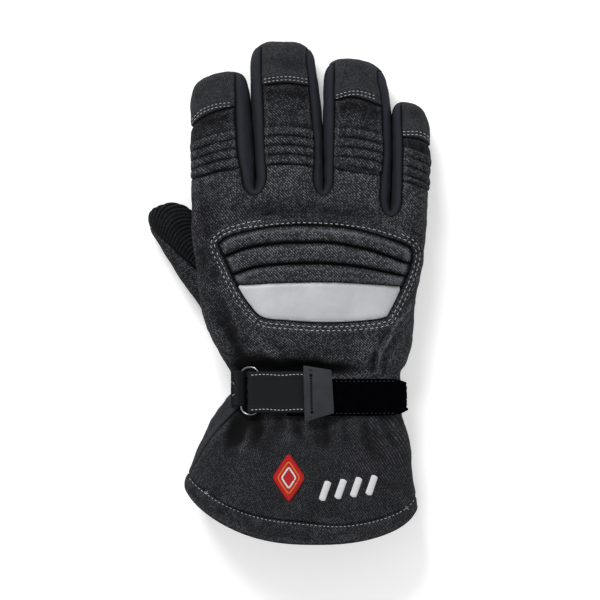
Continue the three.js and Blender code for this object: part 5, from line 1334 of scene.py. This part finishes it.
for cx, cy, start in ((1, 1, 0), (-1, 1, 90), (-1, -1, 180), (1, -1, 270)):
    for turn in np.radians(np.linspace(start, start + 90, 9)):
        flat_x = cx * (ring_half - RING_CORNER) + RING_CORNER * math.cos(turn)
        flat_y = cy * (RING_HALF - RING_CORNER) + RING_CORNER * math.sin(turn)
        wire_path.append((ring_middle + ring_across * flat_x + np.array([0, flat_y, 0])) * MM)
spline.points.add(len(wire_path) - 1)
for point, spot in zip(spline.points, wire_path):
    point.co = (*spot, 1)
spline.use_cyclic_u = True
wire.data.bevel_depth = RING_WIRE * MM
wire.data.bevel_resolution = 3
bpy.ops.object.convert(target="MESH")
wire = bpy.context.object
wire.name = "strap_ring"
wire.data.shade_smooth()
wire.data.materials.clear()
wire.data.materials.append(STEEL)
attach(wire, "root")
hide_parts("wire_ring")

LOOP_WEBBING = cloth("loop_webbing", (0.0030, 0.0034, 0.0042), (0.0068, 0.0076, 0.0092), zoom=3.0, bump=0.2,
                     roughness=0.8, worn=(0.5, 0.9))
sewn_at = math.radians(160)
loop_grids = folded_strap(
    LOOP_Y, LOOP_WIDE, LOOP_THICK, LOOP_LOW, sewn_at, float(hand_angle(LOOP_Y, RING_X[0])), sewn_at,
    lambda share: lerp(RING_RISE + LOOP_RADIUS - LOOP_THICK, LOOP_END, smoothstep(share, 0, 0.7)),
    ring_left, LOOP_RADIUS, 1)
slab("ring_webbing_loop", *loop_grids, LOOP_WEBBING, "webbing", ["ring_loop"])

# Pull tab: a moulded rubber wedge over the strap's end, sewn on with small stitches along a groove.
# It has a hole at each end of the groove, and marks at its corners.
RUBBER, tree, shader = new_material("tab_rubber", {"Specular IOR Level": 0.25})
tab_place = object_place(tree)
grain = noise(tree, tab_place, 1800.0, 3.0)
scuffs = noise(tree, tab_place, 160.0, 4.0)
tab_colour = mixed(tree, ramp(tree, scuffs, 0.35, 0.7), (0.0163, 0.0176, 0.0206), (0.0215, 0.0232, 0.0266))
dressed(tree, shader, tab_colour, grain, 0.3, 0.0001)
tree.links.new(ramp(tree, scuffs, 0.3, 0.7, 0.5, 0.66), shader.inputs["Roughness"])
TAB_LEFT, TAB_RIGHT, TAB_RISE, TAB_THICK, TAB_Y = 7.9, 23.6, 5.0, 2.4, STRAP_Y - 0.8
bpy.ops.mesh.primitive_grid_add(x_subdivisions=16, y_subdivisions=2, size=2, location=(0, 0, 0))
tab = bpy.context.object
tab.name = "rubber_tab"
bpy.ops.object.modifier_add(type="SOLIDIFY")
tab.modifiers["Solidify"].thickness = 1
bpy.ops.object.modifier_apply(modifier="Solidify")
for vertex in tab.data.vertices:
    share = (vertex.co.x + 1) / 2
    x = lerp(TAB_LEFT, TAB_RIGHT, share) - vertex.co.y * lerp(0.4, 0.7, share)
    rise = TAB_RISE + (TAB_THICK if vertex.co.z > -0.5 else 0)
    spot = wrist_point(STRAP_Y, hand_angle(STRAP_Y, x), rise)
    spot[1] = TAB_Y + lerp(0, 1.2, share) + vertex.co.y * lerp(15.8, 12.0, share)
    vertex.co = spot * MM
bpy.ops.object.mode_set(mode="EDIT")
bpy.ops.mesh.select_all(action="SELECT")
bpy.ops.mesh.normals_make_consistent(inside=False)
bpy.ops.object.mode_set(mode="OBJECT")
bevel = tab.modifiers.new("Bevel", "BEVEL")
bevel.width = 0.0007
bevel.segments = 3
bevel.angle_limit = math.radians(40)
bpy.ops.object.modifier_apply(modifier="Bevel")
TAB_TOP = float(hand_top(np.array(11.8), np.array(STRAP_Y))) + TAB_RISE + TAB_THICK
# Each cut: its middle in plan, half its width and length, and how deep it goes.
groove_cuts = [
    (11.9, TAB_Y, 0.42, 10.4, 0.8),
    (11.6, TAB_Y + 10.2, 0.95, 0.95, 2.0),
    (12.2, TAB_Y - 10.2, 0.95, 0.95, 2.0),
]
corner_marks = [(10.8 + 0.5 * k, TAB_Y + side * 12.9, 0.25, 0.7, 0.5) for side in (-1, 1) for k in (0, 2)]
small_holes = [(11.9 - 0.03 * up, TAB_Y + up, 0.8, 0.4, 1.8) for up in np.arange(-8.4, 8.5, 1.4)]
for x, y, wide, long, deep in groove_cuts + corner_marks + small_holes:
    bpy.ops.mesh.primitive_cylinder_add(vertices=24, radius=1, depth=1, location=(0, 0, 0))
    cutter = bpy.context.object
    for vertex in cutter.data.vertices:
        vertex.co = Vector(((x + vertex.co.x * wide) * MM, (y + vertex.co.y * long) * MM,
                            (TAB_TOP + (3 if vertex.co.z > 0 else -deep)) * MM))
    bpy.context.view_layer.objects.active = tab
    carve = tab.modifiers.new("Carve", "BOOLEAN")
    carve.operation = "DIFFERENCE"
    carve.object = cutter
    bpy.ops.object.modifier_apply(modifier="Carve")
    bpy.data.objects.remove(cutter)
tab.data.materials.clear()
tab.data.materials.append(RUBBER)
bpy.context.view_layer.objects.active = tab
tab.select_set(True)
bpy.ops.object.shade_smooth_by_angle(angle=math.radians(35))
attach(tab, "root")
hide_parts("pull_tab")

# Embroidery on the cuff: a plain red diamond with an orange and a white line inside it, and four slanting
# bars. All of it is satin stitch, lying on the cloth of the cuff.
THREAD_PITCH = 0.42


def satin(name, dark, light, sheen=0.3, specular=0.5):
    """Glossy thread, laid side by side across the first UV direction."""
    material, tree, shader = new_material(
        name, {"Roughness": 0.55, "Sheen Weight": sheen, "Specular IOR Level": specular})
    uv = add_node(tree, "ShaderNodeUVMap", uv_map="UVMap").outputs[0]
    waves = {"Vector": uv, "Scale": 2 * math.pi / WAVE_TURN / THREAD_PITCH, "Distortion": 0.6, "Detail": 2.0}
    thread = add_node(tree, "ShaderNodeTexWave", waves).outputs["Fac"]
    share = maths(tree, "MULTIPLY", thread, ramp(tree, noise(tree, uv, 1.3, 2.0), 0.3, 0.7, 0.6, 1.0))
    dressed(tree, shader, mixed(tree, share, dark, light), thread, 0.7, 0.0002)
    return material


RED = satin("red_thread", (0.27, 0.002, 0.004), (0.52, 0.006, 0.010), sheen=0.0, specular=0.2)
ORANGE = satin("orange_thread", (0.50, 0.075, 0.010), (0.75, 0.19, 0.03), sheen=0.0, specular=0.2)
WHITE = satin("white_thread", (0.46, 0.46, 0.48), (0.78, 0.78, 0.80))


def tree_of(*names):
    """The surfaces of some pieces, to lay thread on."""
    points, polygons = [], []
    for name in names:
        mesh = bpy.data.objects[name].data
        start = len(points)
        points.extend(v.co for v in mesh.vertices)
        polygons.extend([start + i for i in p.vertices] for p in mesh.polygons)
    return BVHTree.FromPolygons(points, polygons)


def laid_on(surface, x, y):
    """The highest point of a surface at a place in plan, and its normal, in millimetres."""
    spot, normal, _, _ = surface.ray_cast(Vector((x * MM, y * MM, 0.1)), Vector((0, 0, -1)))
    if spot is None:
        return None
    return np.array(spot) * 1000, np.array(normal)


def walked(path, spacing, closed=False):
    """Points along a path in plan, evenly spaced."""
    path = np.asarray(path, float)
    if closed:
        path = np.concatenate([path, path[:1]])
    run = np.concatenate([[0], np.cumsum(np.linalg.norm(np.diff(path, axis=0), axis=1))])
    at = np.linspace(0, run[-1], max(2, int(run[-1] / spacing) + 1))
    return np.stack([np.interp(at, run, path[:, 0]), np.interp(at, run, path[:, 1])], axis=1)


def thread_runs(name, runs, width, height, material, nodes=(), sides=8, sunk=0.3, taper=0.6):
    """Raised lines of thread, each along points with normals. Their ends taper down into the cloth."""
    points, cells, uvs = [], [], []
    for spots, ups in runs:
        spots, ups = np.array(spots), np.array(ups)
        along = np.gradient(spots, axis=0)
        along /= np.linalg.norm(along, axis=1, keepdims=True)
        side = np.cross(along, ups)
        side /= np.linalg.norm(side, axis=1, keepdims=True)
        run = np.concatenate([[0], np.cumsum(np.linalg.norm(np.diff(spots, axis=0), axis=1))])
        left = np.minimum(run, run[-1] - run)
        swell = np.sqrt(np.clip(1 - np.clip(1 - left / taper, 0, 1) ** 2, 0.02, 1))[:, None, None]
        turn = 2 * math.pi * np.arange(sides) / sides
        ring = (np.cos(turn)[None, :, None] * side[:, None] * width / 2 * swell
                + np.sin(turn)[None, :, None] * ups[:, None] * height * swell)
        start = sum(len(p) for p in points)
        body = spots[:, None] + ups[:, None] * (-sunk * height) + ring
        points.append(body.reshape(-1, 3))
        count = len(spots)
        i, j = np.meshgrid(np.arange(count - 1), np.arange(sides), indexing="ij")
        i, j = i.ravel(), j.ravel()
        k = (j + 1) % sides
        quads = [i * sides + j, (i + 1) * sides + j, (i + 1) * sides + k, i * sides + k]
        cells.append(start + np.stack(quads, 1))
        for end, flip in ((0, True), (count - 1, False)):
            fan = [[0, m, m + 1, m + 1] for m in range(1, sides - 1)]
            cells.append(start + end * sides + np.array(fan)[:, ::-1 if flip else 1])
        uvs.append(np.stack([np.repeat(run, sides), np.tile(np.arange(sides) * width / sides, count)], 1))
    points, cells, uvs = [np.concatenate(parts) for parts in (points, cells, uvs)]
    return add_piece(name, points, cells, uvs, material, nodes)


def line_on(surface, path, spacing, closed=False):
    """The points and normals of a path in plan, laid on a surface."""
    found = [laid_on(surface, x, y) for x, y in walked(path, spacing, closed)]
    found = [f for f in found if f is not None]
    return [f[0] for f in found], [f[1] for f in found]


cuff_cloth = tree_of("cuff_back_panel", "cuff_hem")
PATCH_X, PATCH_Y, PATCH_HALF_X, PATCH_HALF_Y = -0.6, -102.4, 9.4, 14
corners = np.array([(1, 0), (0, 1), (-1, 0), (0, -1)])
before, after = np.roll(corners, 1, axis=0), np.roll(corners, -1, axis=0)
near_corners = [lerp(corners, before, 0.22), corners * 0.923, lerp(corners, after, 0.22)]
diamond = np.stack(near_corners, axis=1).reshape(-1, 2)
diamond = rounded_outline(diamond * (PATCH_HALF_X, PATCH_HALF_Y) + (PATCH_X, PATCH_Y), 4)


def on_cuff(x, y):
    return np.array([laid_on(cuff_cloth, a, b)[0][2] for a, b in zip(x, y)])


def diamond_top(x, y, edge):
    """The satin stitch is rounded at its edge, and highest a little way in."""
    crown = 0.25 * np.exp(-((edge - 1.3) / 0.9) ** 2)
    return on_cuff(x, y) + 0.35 + 0.45 * quarter_round(1 - edge / 0.5) + crown


plan_sheet("red_diamond", diamond, 0.5, diamond_top, lambda x, y, edge: on_cuff(x, y) + 0.1,
           RED, ["cuff_patch"], turn=62)
patch_cloth = tree_of("red_diamond")
for name, scale, material, slot in (
        ("diamond_outer_line", 0.66, ORANGE, "red_thread"),
        ("diamond_inner_line", 0.42, WHITE, "white_thread")):
    path = (diamond - (PATCH_X, PATCH_Y)) * scale + (PATCH_X, PATCH_Y)
    thread_runs(name, [line_on(patch_cloth, path, 0.5, True)], 1.0, 0.35, material, taper=0.3)
BARS, BAR_X, BAR_Y, BAR_APART, BAR_WIDE = 4, 19.4, -115.4, 8.6, 3.9
for k in range(BARS):
    x, y = BAR_X + k * BAR_APART, BAR_Y + k
    bar = line_on(cuff_cloth, [(x - 1.9, y + 0.4), (x + 1.9, y + 11.2)], 0.45)
    thread_runs(f"slanting_bar_{k + 1}", [bar], BAR_WIDE, 0.85, WHITE, [f"cuff_bar_{k + 1}"],
                sides=14, sunk=0.0, taper=0.8)

# Visible stitches: single dashes of white thread, pressed into the cloth.
# Double rows run round the window and over the edge of each cap, single rows along the hem and the strap.
THREAD = satin("stitching_thread", (0.32, 0.32, 0.33), (0.60, 0.60, 0.615))
BLACK = satin("black_thread", (0.010, 0.010, 0.012), (0.036, 0.036, 0.042), sheen=0.0)
TAPE_ROW, FINE_STEP = 8.9, 0.1


def dashes(surface, path, pitch=3.05, length=2.1, closed=False, skip=None):
    """The places of a row of stitches along a path in plan."""
    points = walked(path, FINE_STEP, closed)
    runs = []
    step, long = max(1, round(pitch / FINE_STEP)), max(2, round(length / FINE_STEP))
    for start in range(0, len(points) - long, step):
        part = points[start:start + long + 1]
        if skip is not None and skip(*part[len(part) // 2]):
            continue
        found = [laid_on(surface, x, y) for x, y in part[:: max(1, long // 4)]]
        if all(f is not None for f in found):
            runs.append(([f[0] for f in found], [f[1] for f in found]))
    return runs


hand_cloth = tree_of("back_of_hand")
closer = ROW_CLOSER * smoothstep(WINDOW[:, 1:], 33, 36)
near_path = lerp(grown(WINDOW, ROW_NEAR), grown(WINDOW, ROW_NEAR - 1), closer)
near_row = dashes(hand_cloth, near_path, closed=True)
far_row = dashes(hand_cloth, grown(WINDOW, ROW_FAR), closed=True, skip=lambda x, y: y > 32 and -15 < x < 61)
thread_runs("window_stitches", near_row + far_row, 0.5, 0.26, THREAD, sides=6)
CAP_ROW_SPANS = {
    "index": (-55.2, -31.6), "middle": (-14.6, 10.6), "ring": (25.6, 49.4), "pinky": (62.8, 77.6),
}
cap_runs = []
for name in ORDER:
    cloth_here = tree_of(f"{name}_tip")
    digit = FINGERS[name]
    xs = np.linspace(*CAP_ROW_SPANS[name], 60)
    for off in CAP_ROWS:
        path = np.stack([xs, curve(digit["cap"], xs) + off], 1)
        cap_runs += dashes(cloth_here, path, pitch=2.3, length=1.6)
thread_runs("cap_stitches", cap_runs, 0.42, 0.22, THREAD, sides=6)
xs = np.linspace(-57.5, 69.6, 200)
hem_runs = dashes(cuff_cloth, np.stack([xs, hem_top(xs) - HEM_ROW], 1), pitch=2.3, length=1.5)
hem_runs = [(spots, ups) for spots, ups in hem_runs if min(spot[2] for spot in spots) > HEM_ROW_ENDS_AT]
thread_runs("hem_stitches", hem_runs, 0.36, 0.2, THREAD, sides=6)
strap_cloth = tree_of("wrist_strap")
strap_runs = []
xs = np.linspace(-21.6, 8.2, 60)
for side in (-STRAP_ROW, STRAP_ROW):
    path = np.stack([xs, STRAP_Y + side + 0.25 * np.sin(xs / 3)], 1)
    strap_runs += dashes(strap_cloth, path, pitch=2.15, length=1.55)
thread_runs("strap_stitches", strap_runs, 0.52, 0.26, THREAD, sides=6)
tape_cloth = tree_of("loop_tape_pile")
tape_runs = []
for side in (-TAPE_ROW, TAPE_ROW):
    tape_runs += dashes(tape_cloth, [(25.5, TAPE_Y + side), (58.5, TAPE_Y + side)], pitch=2.4, length=1.3)
thread_runs("tape_stitches", tape_runs, 0.4, 0.3, BLACK, sides=6)

# Thread ends: a few loose ends of the white thread, left standing where a row starts, at both sides of
# the hem and where the ring's loop is sewn in.


def tuft(surface, x, y, ends):
    """Loose ends of thread that stand up from a stitch. ends: the way that each one leans in plan."""
    foot, up = laid_on(surface, x, y)
    shares = np.linspace(0, 1, 6)
    runs = []
    for dx, dy in ends:
        lean = np.array([dx, dy, 0.0])
        runs.append(([foot + s * lean + up * 0.9 * math.sin(2.4 * s) for s in shares], [up] * len(shares)))
    return runs


on_hem = lambda x: (x, float(hem_top(np.array(x))) - HEM_ROW)
loose = tuft(cuff_cloth, *on_hem(-46.2), [(0.6, 1.8), (-0.9, 1.4), (1.5, 0.4)])
loose += tuft(cuff_cloth, *on_hem(64.2), [(1.5, -0.6), (-0.4, 1.4)])
loop_cloth = tree_of("ring_webbing_loop", "back_of_hand", "cuff_back_panel")
loose += tuft(loop_cloth, -31.2, -50.4, [(-1.2, 1.0), (0.6, -0.8)])
loose += tuft(loop_cloth, -30.6, -56.4, [(-0.8, -1.3)])
thread_runs("thread_ends", loose, 0.3, 0.15, THREAD, sides=6, taper=0.3)
